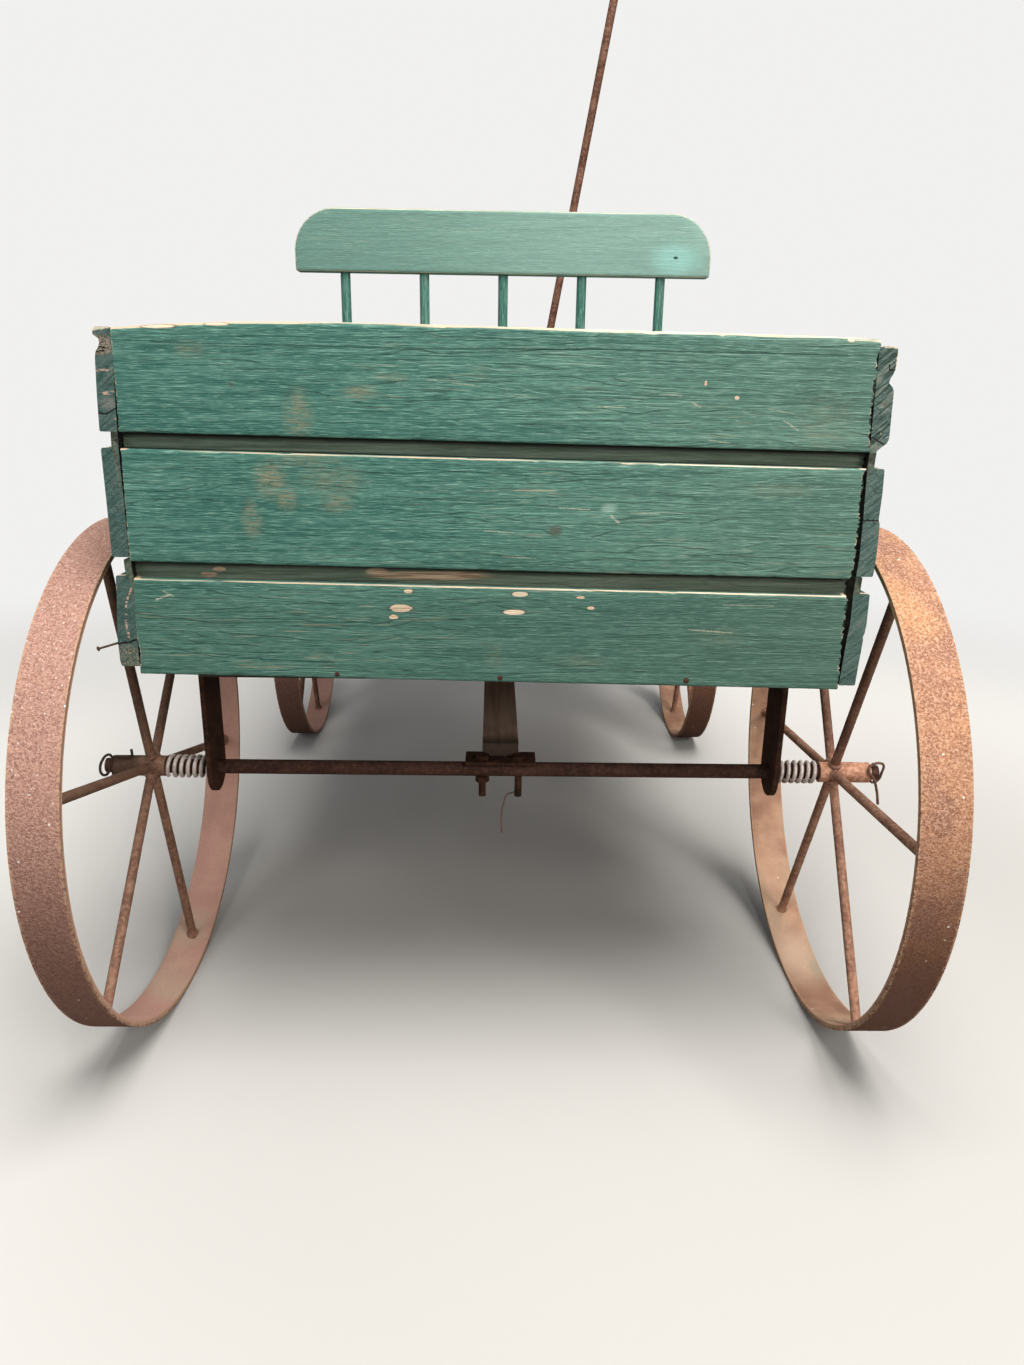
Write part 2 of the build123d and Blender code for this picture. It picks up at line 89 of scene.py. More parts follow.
ENDGRAIN = {"dark": (0.046, 0.100, 0.088), "green": (0.090, 0.152, 0.135), "wood": (0.200, 0.185, 0.155),
            "speck": (0.44, 0.48, 0.42), "teal": (0.026, 0.080, 0.076), "torn": (0.060, 0.046, 0.032),
            "torn pale": (0.30, 0.27, 0.21), "hatch dark": (0.020, 0.040, 0.032),
            "hatch pale": (0.270, 0.260, 0.210), "grey": (0.235, 0.225, 0.205), "mottled": (0.33, 0.26, 0.18),
            "sawn": (0.50, 0.35, 0.27)}
REACH_SHADOW = (0.040, 0.025, 0.017)
# Colours of the rust, and of painted shade and light on it
SHADE_ABOVE_AXLE = (0.052, 0.026, 0.016)
SHADE_LEFT = (0.070, 0.052, 0.036)
SHADE_LEFT_TIP = (0.034, 0.020, 0.014)
TREAD = {"dark": (0.320, 0.166, 0.132), "rose": (0.490, 0.286, 0.228), "brown": (0.330, 0.160, 0.104),
         "orange": (0.500, 0.250, 0.140), "bright": (0.600, 0.310, 0.140), "deep": (0.200, 0.084, 0.050),
         "sand": (0.660, 0.420, 0.300), "pink": (0.660, 0.460, 0.370), "pit": (0.100, 0.044, 0.031),
         "warm": (0.440, 0.225, 0.135), "low": (0.085, 0.032, 0.018), "edge": (0.500, 0.310, 0.195),
         "fleck": (0.80, 0.78, 0.74), "dust": (0.74, 0.68, 0.65)}
INSIDE = {"dark": (0.340, 0.180, 0.120), "light": (0.540, 0.330, 0.220), "left": (0.700, 0.400, 0.345),
          "patch": (0.560, 0.460, 0.330), "grain": (0.130, 0.066, 0.046), "pale": (0.660, 0.500, 0.380),
          "oily": (0.300, 0.330, 0.240)}

# Marks on the tailgate: place along X and Z and half size, in millimetres, and how strong a rub is
RUBS = ((-123, 490, 12, 20, 0.75), (-84, 503, 15, 7, 0.9), (-66, 512, 16, 4, 0.7), (-142, 450, 14, 16, 1.0),
        (-133, 438, 9, 10, 0.9), (-104, 450, 30, 14, 0.5), (-101, 436, 14, 9, 0.7), (-156, 425, 8, 16, 0.7),
        (-186, 526, 12, 7, 0.5), (180, 447, 30, 7, 0.3), (150, 350, 20, 9, 0.25), (-120, 462, 34, 6, 0.5),
        (60, 332, 22, 6, 0.3), (-10, 515, 7, 9, 0.3), (0, 335, 10, 12, 0.25), (205, 486, 28, 26, 0.3))
CHIPS = ((-62, 367.5, 7.6, 2.4), (-57, 379, 3.4, 1.6), (-67, 361.5, 3.2, 1.4), (16, 377.5, 6.0, 1.8),
         (12.5, 365.5, 7.0, 2.0), (63, 369, 2.4, 1.2), (148, 503, 1.5, 1.1), (56, 376, 3.0, 1.0),
         (215, 537.5, 2.6, 1.5), (-206, 539.5, 14.0, 1.9), (-170, 541, 8.0, 1.2), (128, 511, 0.9, 1.6))
KNOTS = ((38, 419.5, 6.5, 5.0, KNOT), (-163, 506, 2.2, 1.8, KNOT), (72, 434, 7, 4, KNOT_PALE))
SCUFFS = ((-42, 388.0, 47, 3.6), (-78, 390.5, 9, 2.6), (-188, 387, 6, 2.2), (-181, 390.5, 5, 2.0))
# Lines on the tailgate: from and to along X and Z, and half width, in millimetres
SCRATCHES = (((40, 434), (60, 433.2), 0.4), ((86, 432.2), (104, 431.4), 0.4), ((4, 402), (26, 401), 0.4),
             ((62, 497), (80, 496.2), 0.4), ((100, 504), (114, 503.4), 0.4), ((168, 497), (184, 494), 0.4),
             ((132, 477.4), (146, 475.6), 0.5), ((-28, 509), (-14, 508), 0.4), ((-8, 419), (12, 418), 0.4),
             ((120, 500), (126, 497), 0.7), ((178, 490), (188, 484), 0.6), ((-222, 371), (-213, 374.5), 0.8),
             ((-217, 377), (-210, 373.5), 0.6), ((73, 430), (79, 425), 1.0), ((150, 372), (184, 371.4), 0.4),
             ((128, 355), (158, 353.6), 0.4))
# Long fine cracks along the tailgate's grain
CRACKS = (((-210, 530.2), (-58, 528.8), 0.6), ((-58, 528.8), (75, 529.8), 0.6),
          ((75, 529.8), (214, 528.8), 0.7), ((-236, 361.7), (-188, 356.3), 0.5),
          ((-188, 356.3), (-108, 357.3), 0.5), ((-232, 342.4), (-188, 333), 0.5),
          ((-188, 333), (-107, 329.2), 0.5), ((-70, 440), (-34, 438.5), 0.5), ((-66, 425), (-18, 423.5), 0.5),
          ((-160, 516), (-90, 515), 0.4), ((120, 352), (200, 350), 0.4))
# Lines across the ends of the side walls: splits, saw marks down to the wood, and worn top edges
SPLITS = (((-246, 488), (-241, 487.5), 0.75), ((-241, 487.5), (-234.5, 491), 0.6),
          ((-250.5, 340.6), (-243, 341.6), 0.8), ((-243, 341.6), (-237, 344), 0.9),
          ((234, 480.4), (244.5, 475.6), 0.6), ((235, 428.6), (246.6, 428.8), 0.6),
          ((240, 523.5), (240.6, 520), 0.5), ((240.6, 520), (243.5, 520.6), 0.5),
          ((-243, 531.5), (-241.5, 526.5), 0.8), ((-241.5, 527), (-237.5, 526), 0.6),
          ((-244, 523.8), (-238, 524.6), 0.5))
SAW_MARKS = (((-246, 512.6), (-234.5, 514.0), 0.9), ((-241.5, 499.6), (-234.5, 500.6), 1.3),
             ((-237, 379), (-241.7, 368.5), 0.8), ((-241.7, 368.5), (-243.3, 356), 1.0),
             ((-243.3, 356), (-242.2, 345), 1.1), ((-236, 484.5), (-234, 486), 0.8),
             ((244.0, 427.4), (247.4, 427.4), 0.7), ((-246.8, 381), (-246.8, 377), 0.4),
             ((239.5, 483.5), (240.5, 482), 0.5))
PALE_EDGES = (((-246, 536.6), (-233.5, 538.8), 1.6), ((232.5, 534.6), (243.6, 533.6), 0.9),
              ((244.2, 532.5), (244.0, 517), 0.45))


# Finishes
class Finish:
    """A material, and the steps that its pattern is built from."""

    def __init__(self, name):
        self.material = bpy.data.materials.new(name)
        self.material.use_nodes = True
        self.tree = self.material.node_tree
        self.shader = self.tree.nodes["Principled BSDF"]
        self.place = self.tree.nodes.new("ShaderNodeTexCoord").outputs["Object"]

    def step(self, kind, settings, *sockets):
        node = self.tree.nodes.new(kind)
        for key, value in settings.items():
            setattr(node, key, value)
        for key, value in sockets:
            socket = node.inputs[key]
            if isinstance(value, bpy.types.NodeSocket):
                self.tree.links.new(value, socket)
            else:
                socket.default_value = (*value, 1) if socket.type == "RGBA" else value
        return node

    def axis(self, letter, vector=None):
        """How far along an axis a place lies."""
        vector = self.place if vector is None else vector
        return self.step("ShaderNodeSeparateXYZ", {}, ("Vector", vector)).outputs[letter]

    def vector(self, how, *values):
        """A sum with vectors, whose result is a plain value for a length, a distance or a dot product."""
        node = self.step("ShaderNodeVectorMath", {"operation": how}, *enumerate(values))
        return node.outputs["Value" if how in ("LENGTH", "DISTANCE", "DOT_PRODUCT") else "Vector"]

    def drawn(self, axis, squeeze=0.035, shift=(0, 0, 0)):
        """Object coordinates that draw a pattern out along an axis."""
        scale = tuple(squeeze if letter == axis else 1 for letter in "XYZ")
        return self.step("ShaderNodeMapping", {}, ("Vector", self.place), ("Location", shift),
                         ("Scale", scale)).outputs[0]

    def slanted(self, squeeze, rise):
        """Object coordinates for streaks that rise to the right across a board's end."""
        return self.step("ShaderNodeMapping", {"vector_type": "TEXTURE"}, ("Vector", self.place),
                         ("Rotation", (0, pi / 2 - rise, 0)), ("Scale", (1, 1, 1 / squeeze))).outputs[0]

    def noise(self, coords, scale, detail=4.0, rough=0.55, twist=0.0):
        return self.step("ShaderNodeTexNoise", {}, ("Vector", coords), ("Scale", scale),
                         ("Detail", detail), ("Roughness", rough), ("Distortion", twist)).outputs[0]

    def cells(self, scale):
        """How far a place lies from the nearest of many scattered points."""
        return self.step("ShaderNodeTexVoronoi", {}, ("Vector", self.place), ("Scale", scale)).outputs[0]

    def band(self, value, low, high, start=0.0, end=1.0):
        """Rises smoothly from start to end as the value goes from low to high."""
        return self.step("ShaderNodeMapRange", {"interpolation_type": "SMOOTHSTEP"}, ("Value", value),
                         ("From Min", low), ("From Max", high), ("To Min", start), ("To Max", end)).outputs[0]

    def sum(self, first, second, how="ADD"):
        return self.step("ShaderNodeMath", {"operation": how}, (0, first), (1, second)).outputs[0]

    def times(self, first, second):
        return self.sum(first, second, "MULTIPLY")

    def most(self, values):
        """The largest of many values."""
        largest = values[0]
        for value in values[1:]:
            largest = self.sum(largest, value, "MAXIMUM")
        return largest

    def over(self, amount, under, top):
        """Lays one colour over another by an amount."""
        node = self.step("ShaderNodeMix", {"data_type": "RGBA"}, (0, amount), (6, under), (7, top))
        return node.outputs[2]

    def layers(self, colour, *rows):
        """Lays colours on in turn, each from where its pattern's value starts it to where it is strongest."""
        for top, pattern, start, full, strength in rows:
            colour = self.over(self.band(pattern, start, full, 0.0, strength), colour, top)
        return colour

    def mark(self, name):
        """A value kept on the mesh: how worn, how dirty or painted dark as shade, or how sawn a place is."""
        return self.step("ShaderNodeAttribute", {"attribute_name": name}).outputs["Fac"]

    def patch(self, centre, size, ragged, edge, grain):
        """A spot round a place: 1 inside, falling to 0 at its ragged edge."""
        away = self.vector("DIVIDE", self.vector("SUBTRACT", self.place, centre), size)
        reach = self.sum(self.vector("LENGTH", away), self.times(self.sum(grain, -0.5), ragged))
        return self.band(reach, 1.0, 1.0 - edge)

    def spot(self, x, z, wide, high, ragged, edge, grain, deep=1000):
        """A patch on the box's rear end, placed in millimetres."""
        size = (wide * MM, deep * MM, high * MM)
        return self.patch((x * MM, TAIL_Y, z * MM), size, ragged, edge, grain)

    def line(self, start, end, half, grain, wander):
        """A thin line on the box's rear end, in millimetres, that wanders with the grain: 1 on it."""
        start, end = (Vector((x * MM, TAIL_Y, z * MM)) for x, z in (start, end))
        half *= MM
        way = (end - start).normalized()
        away = self.vector("SUBTRACT", self.place, start)
        along = self.vector("DOT_PRODUCT", away, way)
        off = self.vector("DOT_PRODUCT", away, Vector((-way.z, 0, way.x)))
        off = self.sum(off, self.times(self.sum(grain, -0.5), wander * MM))
        on = self.band(self.sum(off, 0.0, "ABSOLUTE"), half, half * 0.45)
        reach = (end - start).length
        inside = self.times(self.band(along, -half, half), self.band(along, reach + half, reach - half))
        return self.times(on, inside)

    def lines(self, colour, top, table, grain, wander, amount):
        """Draws a table of lines in a colour."""
        for start, end, half in table:
            drawn = self.line(start, end, half, grain, wander)
            colour = self.over(self.times(drawn, amount), colour, top)
        return colour

    def relief(self, height, depth, strength=1.0, under=None):
        node = self.step("ShaderNodeBump", {}, ("Height", height), ("Distance", depth),
                         ("Strength", strength))
        if under is not None:
            self.tree.links.new(under, node.inputs["Normal"])
        return node.outputs[0]

    def seal(self, colour, rough, normal, metal=0.0, specular=0.5):
        for key, value in (("Base Color", colour), ("Roughness", rough), ("Normal", normal)):
            self.tree.links.new(value, self.shader.inputs[key])
        self.shader.inputs["Metallic"].default_value = metal
        self.shader.inputs["Specular IOR Level"].default_value = specular
        return self.material


class Paint(Finish):
    """Green paint, with the patterns that its marks share."""

    def __init__(self, name, along):
        super().__init__(name)
        self.fibre = self.noise(self.drawn(along), 900, 3, 0.65)
        self.streak = self.noise(self.drawn(along, shift=(0.3, 0.1, 0.7)), 300, 4, 0.65)
        self.scratch = self.noise(self.drawn(along, shift=(0.9, 0.4, 0.2)), 620, 2, 0.7)
        self.broad = self.noise(self.drawn(along, 0.2), 17, 3, 0.5)
        self.pebble = self.noise(self.drawn(along, 0.08), 1200, 2, 0.7)
        self.speck = self.noise(self.place, 1500, 2, 0.6)
        self.slant = self.noise(self.slanted(0.10, radians(42)), 640, 3, 0.6)
        wavy = self.noise(self.drawn(along, 0.077), 110, 2, 0.45, 0.5)
        wave = self.band(self.sum(self.times(wavy, 7.0), 1.0, "FRACT"), 0.84, 0.99)
        self.wave = self.times(wave, self.band(self.broad, 0.34, 0.56))

    def wood(self, dark, light, low=0.35, high=0.65):
        """Two tones of wood, mixed along its fibres."""
        return self.over(self.band(self.fibre, low, high), dark, light)


def seat_tones(f, colour):
    """Paint that pales from left to right, with a knot in a bright place; its paler green is painted light.
    """
    low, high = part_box("seat_back")
    wide = high.x - low.x
    left, middle_left, middle, middle_right = (low.x + share * wide for share in (0, 0.25, 0.55, 0.75))
    across = f.axis("X")
    # Painted light: the whole seat back is mixed towards a paler green, for the stronger light high on the
    # wagon. It is darker on the left and paler on the right.
    colour = f.over(0.44, colour, SEAT["middle"])
    colour = f.layers(colour, (SEAT["left"], across, middle, left, 0.26),
                      (SEAT["right"], across, middle_left, middle_right, 0.17))
    knot = (low.x + 0.915 * wide, low.y, low.z + 0.31 * (high.z - low.z))
    aqua = f.patch(knot, (0.075 * wide, 1, 0.05 * wide), 0.7, 0.8, f.broad)
    colour = f.over(f.times(aqua, 0.42), colour, SEAT["aqua"])
    return f.over(f.patch(knot, (3.2 * MM, 1, 2.2 * MM), 0.8, 0.5, f.streak), colour, GREEN_DARK)


def tailgate_marks(f, colour):
    """The tailgate's tone, paler towards the right and with painted shade darkening its lower planks, and its
    rubs, scratches, cracks and knots.
    """
    grit = f.band(f.noise(f.drawn("X", 0.3), 560, 3, 0.75), 0.35, 0.60)
    rightward = f.sum(f.axis("X"), f.times(f.broad, 0.2))
    # Paler towards the right, and painted shade: darker towards the bottom, for light that falls from above.
    colour = f.layers(colour, (GREEN_PALER_RIGHT, rightward, 0.0, 0.36, 0.16),
                      (GREEN_SHADED_LOW, f.axis("Z"), 0.43, 0.35, 0.34))
    rubbed = f.most([f.times(f.spot(*place, 1.1, 0.8, f.broad), amount) for *place, amount in RUBS])
    colour = f.over(f.times(f.times(rubbed, grit), 0.80), colour, RUBBED)
    colour = f.lines(colour, SCRATCHED, SCRATCHES, f.streak, 3, f.band(f.speck, 0.35, 0.55, 0.10, 0.65))
    colour = f.lines(colour, GREEN_DARK, CRACKS, f.streak, 2.4, f.band(f.speck, 0.25, 0.5, 0.25, 0.75))
    for *place, tone in KNOTS:
        colour = f.over(f.times(f.spot(*place, 0.9, 0.7, f.streak), 0.65), colour, tone)
    return colour


def wall_ends(f, colour, height):
    """Splits, saw marks, torn and mottled places on the ends of the side walls."""
    slant, speck = f.slant, f.speck
    dash = f.band(f.noise(f.drawn("X", 0.25), 620, 2, 0.6), 0.44, 0.56)
    colour = f.layers(colour, (ENDGRAIN["teal"], f.axis("X"), 0.1, -0.1, 0.32))
    torn = f.over(f.band(speck, 0.40, 0.60), ENDGRAIN["torn"], ENDGRAIN["torn pale"])
    colour = f.over(f.spot(-240, 528, 9, 7.5, 0.8, 0.4, slant), colour, torn)
    hatched = f.spot(239, 500, 14, 42, 0.3, 0.3, slant)
    colour = f.over(f.times(hatched, f.band(slant, 0.50, 0.42, 0.0, 0.70)), colour, ENDGRAIN["hatch dark"])
    colour = f.over(f.times(hatched, f.band(slant, 0.54, 0.62, 0.0, 0.50)), colour, ENDGRAIN["hatch pale"])
    grey = f.spot(-239, 494, 7, 5, 0.9, 0.7, slant)
    colour = f.over(f.times(grey, 0.55), colour, ENDGRAIN["grey"])
    mottled = f.spot(-243, 332, 11, 10, 0.8, 0.4, slant)
    colour = f.over(f.times(mottled, f.band(speck, 0.48, 0.62)), colour, ENDGRAIN["mottled"])
    colour = f.lines(colour, ENDGRAIN["sawn"], SAW_MARKS, slant, 2, dash)
    colour = f.lines(colour, CREAM, PALE_EDGES, slant, 1.6, f.band(speck, 0.30, 0.45, 0.5, 1.0))
    for start, end, half in SPLITS:
        split = f.line(start, end, half, slant, 1.6)
        colour = f.over(split, colour, BLACK)
        height = f.sum(height, f.times(split, -2.0))
    return colour, height


def green_paint(name, along, part="plain"):
    """Thin green paint worn through to the wood along its grain, edges and rubbed places, with dirt and
    painted shade in its laps.
    """
    f = Paint(name, along)
    fibre, streak, pebble, slant = f.fibre, f.streak, f.pebble, f.slant
    colour = f.over(f.band(f.broad, 0.30, 0.70), GREEN_DEEP, GREEN)
    # Paler streaks and fibres along the grain: the paint's uneven tone, and partly a painted sheen.
    colour = f.layers(colour, (GREEN_PALE, streak, 0.42, 0.68, 0.36), (GREEN_DEEP, streak, 0.50, 0.30, 0.42),
                      (GREEN_PALE, fibre, 0.52, 0.66, 0.45), (GREEN_DARK, fibre, 0.44, 0.30, 0.42),
                      (GREEN_MINT, pebble, 0.53, 0.66, 0.40), (GREEN_DARK, pebble, 0.46, 0.36, 0.46))
    colour = f.over(f.times(f.wave, 0.30), colour, GREEN_DARK)
    scratched = f.times(f.band(f.scratch, 0.605, 0.70), f.band(f.broad, 0.44, 0.62))
    colour = f.over(f.times(scratched, 0.6), colour, TAN)
    colour = f.layers(colour, (GREEN_SPECK, f.speck, 0.70, 0.76, 0.5))
    cream = CREAM
    if part == "seat":
        colour = seat_tones(f, colour)
    elif part == "tailgate":
        colour = tailgate_marks(f, colour)
        cream = f.over(f.band(f.axis("X"), -0.02, 0.12), CREAM_DULL, CREAM)
    worn = f.sum(f.mark("worn"), f.times(f.sum(streak, -0.5), 0.9))
    colour = f.over(f.band(worn, 0.52, 0.66), colour, f.wood(BARE, cream, 0.35, 0.60))
    height = f.sum(f.times(fibre, 0.8), f.times(streak, 0.9))
    height = f.sum(height, f.times(pebble, 0.35))
    height = f.sum(height, f.times(f.wave, -0.7))
    if part == "tailgate":
        sizes = ((x, z, 1.22 * wide, 1.30 * high) for x, z, wide, high in CHIPS)
        chipped = f.most([f.spot(*size, 1.1, 0.5, streak, deep=2) for size in sizes])
        colour = f.layers(colour, (CHIP_RIM, chipped, 0.02, 0.30, 0.60))
        bare = f.band(chipped, 0.36, 0.56)
        colour = f.over(bare, colour, f.wood(BARE, CREAM, 0.3, 0.7))
        height = f.sum(height, f.times(bare, -1.6))
    end_colour = f.over(f.band(slant, 0.40, 0.60), ENDGRAIN["dark"], ENDGRAIN["green"])
    end_colour = f.layers(end_colour, (ENDGRAIN["wood"], slant, 0.57, 0.66, 0.36),
                          (GREEN_DARK, slant, 0.40, 0.33, 0.50),
                          (ENDGRAIN["speck"], f.speck, 0.66, 0.74, 0.5))
    end_height = f.times(slant, 1.2)
    if part == "sides":
        end_colour, end_height = wall_ends(f, end_colour, end_height)
    sawn = f.mark("end_grain")
    colour = f.over(sawn, colour, end_colour)
    height = f.sum(height, f.times(end_height, sawn))
    # Olive dirt in the laps, then black as painted shade under the lip of the board above, at the lap's foot
    # and in the gaps at the side boards' ends.
    grime_and_shade = f.mark("grime_and_shade")
    dirt = f.over(f.band(streak, 0.36, 0.66), OLIVE, OLIVE_PALE)
    colour = f.layers(colour, (dirt, grime_and_shade, 0.0, 0.5, 0.72), (BLACK, grime_and_shade, 0.55, 1.0, 1.0))
    if part == "tailgate":
        scuffed = f.most([f.spot(*size, 0.9, 0.35, streak) for size in SCUFFS])
        colour = f.over(f.times(scuffed, 0.85), colour, f.wood(SCUFF_DARK, SCUFF_PALE))
    rough = f.band(streak, 0.3, 0.7, 0.62, 0.42)
    return f.seal(colour, rough, f.relief(height, 0.5 * MM, 0.4 if part == "seat" else 0.9), specular=0.35)


def shaded(colour, share):
    """A colour made darker or lighter."""
    return tuple(min(1, c * share) for c in colour)


def old_wood(name, along, dark, light, shadow_end=None):
    """Bare wood gone grey-brown, with dirt in its grain, and painted shade that darkens it towards an end."""
    f = Finish(name)
    fibre = f.noise(f.drawn(along), 700, 3, 0.6)
    streak = f.noise(f.drawn(along, shift=(0.5, 0.2, 0.9)), 180, 4, 0.6)
    broad = f.noise(f.place, 22, 3, 0.5)
    colour = f.over(f.band(streak, 0.32, 0.70), dark, light)
    colour = f.layers(colour, (shaded(dark, 0.45), broad, 0.5, 0.75, 0.5),
                      (shaded(light, 1.5), fibre, 0.58, 0.74, 0.35))
    # Painted shade: the last 44 mm towards the rear axle are darkened, for the shadow under the box.
    if shadow_end is not None:
        colour = f.layers(colour, (REACH_SHADOW, f.axis("Y"), shadow_end + 44 * MM, shadow_end + 6 * MM, 0.94))
    rough = f.band(streak, 0.3, 0.7, 0.85, 0.65)
    return f.seal(colour, rough, f.relief(f.sum(fibre, streak), 0.5 * MM, 0.9), specular=0.3)


def rusty_iron(name, dark, base, light, pits=0.35, size=300, rough=(0.66, 0.9), shine=0.1, shade_left=0.0,
               shade_above_axle=0.0):
    """Iron under a brown rust, mottled, pitted and dusted with pale specks, with painted shade that darkens
    it on the wagon's left and, where asked, above the axles.
    """
    f = Finish(name)
    mottle = f.noise(f.place, size * 0.16, 4, 0.6)
    grain = f.noise(f.place, size, 4, 0.65)
    fine = f.noise(f.place, size * 3.4, 2, 0.6)
    pit = f.times(f.band(f.cells(size * 1.1), 0.34, 0.12), f.band(mottle, 0.40, 0.62))
    colour = f.over(f.band(mottle, 0.34, 0.66), dark, base)
    colour = f.layers(colour, (light, grain, 0.46, 0.66, 0.6), (shaded(dark, 0.5), grain, 0.46, 0.30, 0.55))
    # Painted shade: darker above the axle's height, for the shadow of the box.
    if shade_above_axle:
        colour = f.layers(colour, (SHADE_ABOVE_AXLE, f.axis("Z"), REAR_Z - 10 * MM, REAR_Z + 50 * MM, shade_above_axle))
    # Painted shade: darker on the wagon's left, away from the light, and darkest at the outer ends there.
    if shade_left:
        colour = f.layers(colour, (SHADE_LEFT, f.axis("X"), -0.10, -0.20, shade_left))
    if shade_left > 0.5:
        colour = f.layers(colour, (SHADE_LEFT_TIP, f.axis("X"), -0.284, -0.297, 0.75))
    colour = f.over(f.times(pit, pits), colour, shaded(dark, 0.30))
    colour = f.layers(colour, (shaded(light, 2.2), fine, 0.70, 0.76, 0.3))
    height = f.sum(grain, f.times(pit, -1.1 * pits / 0.35))
    return f.seal(colour, f.band(grain, 0.3, 0.7, rough[0], rough[1]), f.relief(height, 0.5 * MM, 0.8),
                  metal=shine, specular=0.25)


def rim_iron(name, axle_y, axle_z):
    """A wheel's strap: pebbled rust outside, smoother and paler inside, rubbed bright at its edges, with
    painted light on its upper tread and on the left wheels' insides, and painted shade on its lower tread.
    """
    f = Finish(name)
    from_axle = f.vector("SUBTRACT", f.place, (0, axle_y, axle_z))
    from_axle = f.vector("MULTIPLY", from_axle, (0, 1, 1))
    tread = f.band(f.vector("LENGTH", from_axle), axle_z - 3.4 * MM, axle_z - 0.6 * MM)
    edge = f.band(f.sum(f.mark("rim_across"), 0.0, "ABSOLUTE"), 0.84, 1.0)
    mottle = f.noise(f.place, 26, 4, 0.6)
    patches = f.noise(f.place, 9, 2, 0.5)
    grain = f.noise(f.place, 900, 3, 0.65)
    coarse = f.noise(f.place, 520, 3, 0.6)
    fine = f.noise(f.place, 1900, 2, 0.6)
    right = f.band(f.axis("X"), -0.1, 0.1)
    left = f.band(right, 1, 0)
    # How high on the wheel a place is: the tread's painted light above and painted shade below follow it.
    high = f.band(f.axis("Z", from_axle), -0.12, 0.14)
    outer = f.over(f.band(coarse, 0.36, 0.64), TREAD["dark"], TREAD["rose"])
    orange = f.over(f.band(mottle, 0.40, 0.62), TREAD["brown"], TREAD["orange"])
    # Bright orange rust patches, stronger towards the top as painted light.
    bright = f.times(f.band(patches, 0.50, 0.62), f.band(high, 0.3, 0.9, 0.1, 0.55))
    orange = f.over(bright, orange, TREAD["bright"])
    orange = f.layers(orange, (TREAD["deep"], coarse, 0.54, 0.40, 0.50))
    # Sand-coloured rust where the grain is coarse, stronger towards the top as painted light.
    sandy = f.times(f.band(coarse, 0.52, 0.64), f.band(high, 0.2, 1.0, 0.2, 0.62))
    orange = f.over(sandy, orange, TREAD["sand"])
    # A little more orange towards the top, partly painted light.
    orange_part = f.band(f.sum(mottle, f.times(high, 0.22)), 0.36, 0.60)
    outer = f.over(f.times(right, orange_part), outer, orange)
    outer = f.layers(outer, (TREAD["pink"], grain, 0.52, 0.66, 0.50), (TREAD["pit"], grain, 0.46, 0.34, 0.55),
                     (TREAD["warm"], mottle, 0.54, 0.72, 0.20))
    # Painted shade: the lower tread darkened, more on the right wheels.
    outer = f.over(f.times(f.band(high, 0.9, 0.0), f.band(right, 0, 1, 0.58, 0.80)), outer, TREAD["low"])
    inner = f.over(f.band(mottle, 0.35, 0.68), INSIDE["dark"], INSIDE["light"])
    # Painted light: the left wheels' inner faces, which face the light from the right, are paler.
    inner = f.over(f.times(left, 0.60), inner, INSIDE["left"])
    inner = f.layers(inner, (INSIDE["patch"], patches, 0.56, 0.70, 0.50),
                     (INSIDE["grain"], grain, 0.48, 0.34, 0.30))
    if axle_z > 180 * MM:
        pale = f.patch((280 * MM, axle_y + 30 * MM, 6 * MM), (40 * MM, 62 * MM, 26 * MM), 0.5, 1.0, mottle)
        inner = f.over(f.times(pale, 0.62), inner, INSIDE["pale"])
        oily = f.patch((296 * MM, axle_y + 14 * MM, 4 * MM), (11 * MM, 30 * MM, 12 * MM), 0.7, 0.9, mottle)
        inner = f.over(f.times(oily, 0.50), inner, INSIDE["oily"])
    colour = f.over(tread, inner, outer)
    colour = f.over(f.times(edge, f.band(coarse, 0.40, 0.58)), colour, TREAD["edge"])
    flecks = f.times(f.band(f.cells(90), 0.085, 0.045), f.band(mottle, 0.47, 0.54))
    colour = f.over(flecks, colour, TREAD["fleck"])
    dusted = f.times(f.band(f.cells(190), 0.14, 0.07), f.times(f.band(high, 0.35, 0.9), f.times(tread, left)))
    colour = f.over(f.times(dusted, 0.75), colour, TREAD["dust"])
    height = f.sum(f.times(grain, 0.7), f.times(coarse, 0.9))
    bump = f.relief(f.times(height, f.band(tread, 0, 1, 0.25, 1.0)), 0.9 * MM, 0.9)
    bump = f.relief(fine, 0.12 * MM, 0.5, bump)
    return f.seal(colour, f.band(grain, 0.3, 0.7, 0.62, 0.85), bump, metal=0.08, specular=0.3)


paint = {axis: green_paint(f"green_paint_{axis}", axis) for axis in "XYZ"}
tail_paint = green_paint("green_paint_tailgate", "X", part="tailgate")
side_paint = green_paint("green_paint_sides", "Y", part="sides")
seat_paint = green_paint("green_paint_seat", "X", part="seat")
floor_wood = old_wood("floor_wood", "Y", (0.075, 0.062, 0.045), (0.210, 0.175, 0.130))
bolster_wood = old_wood("bolster_wood", "X", (0.040, 0.026, 0.018), (0.110, 0.076, 0.054))
reach_wood = old_wood("reach_wood", "Y", (0.430, 0.285, 0.210), (0.580, 0.415, 0.315), REAR_Y)
rim_rear = rim_iron("rim_iron_rear", REAR_Y, REAR_Z)
rim_front = rim_iron("rim_iron_front", FRONT_Y, FRONT_Z)
spoke_iron = rusty_iron("spoke_iron", (0.230, 0.110, 0.075), (0.400, 0.215, 0.140), (0.540, 0.330, 0.230),
                        shade_left=0.30, shade_above_axle=0.55)
hub_iron = rusty_iron("hub_iron", (0.400, 0.185, 0.115), (0.740, 0.385, 0.250), (0.840, 0.540, 0.400),
                      shade_left=0.62)
axle_iron = rusty_iron("axle_iron", (0.040, 0.017, 0.012), (0.075, 0.034, 0.024), (0.125, 0.064, 0.046))
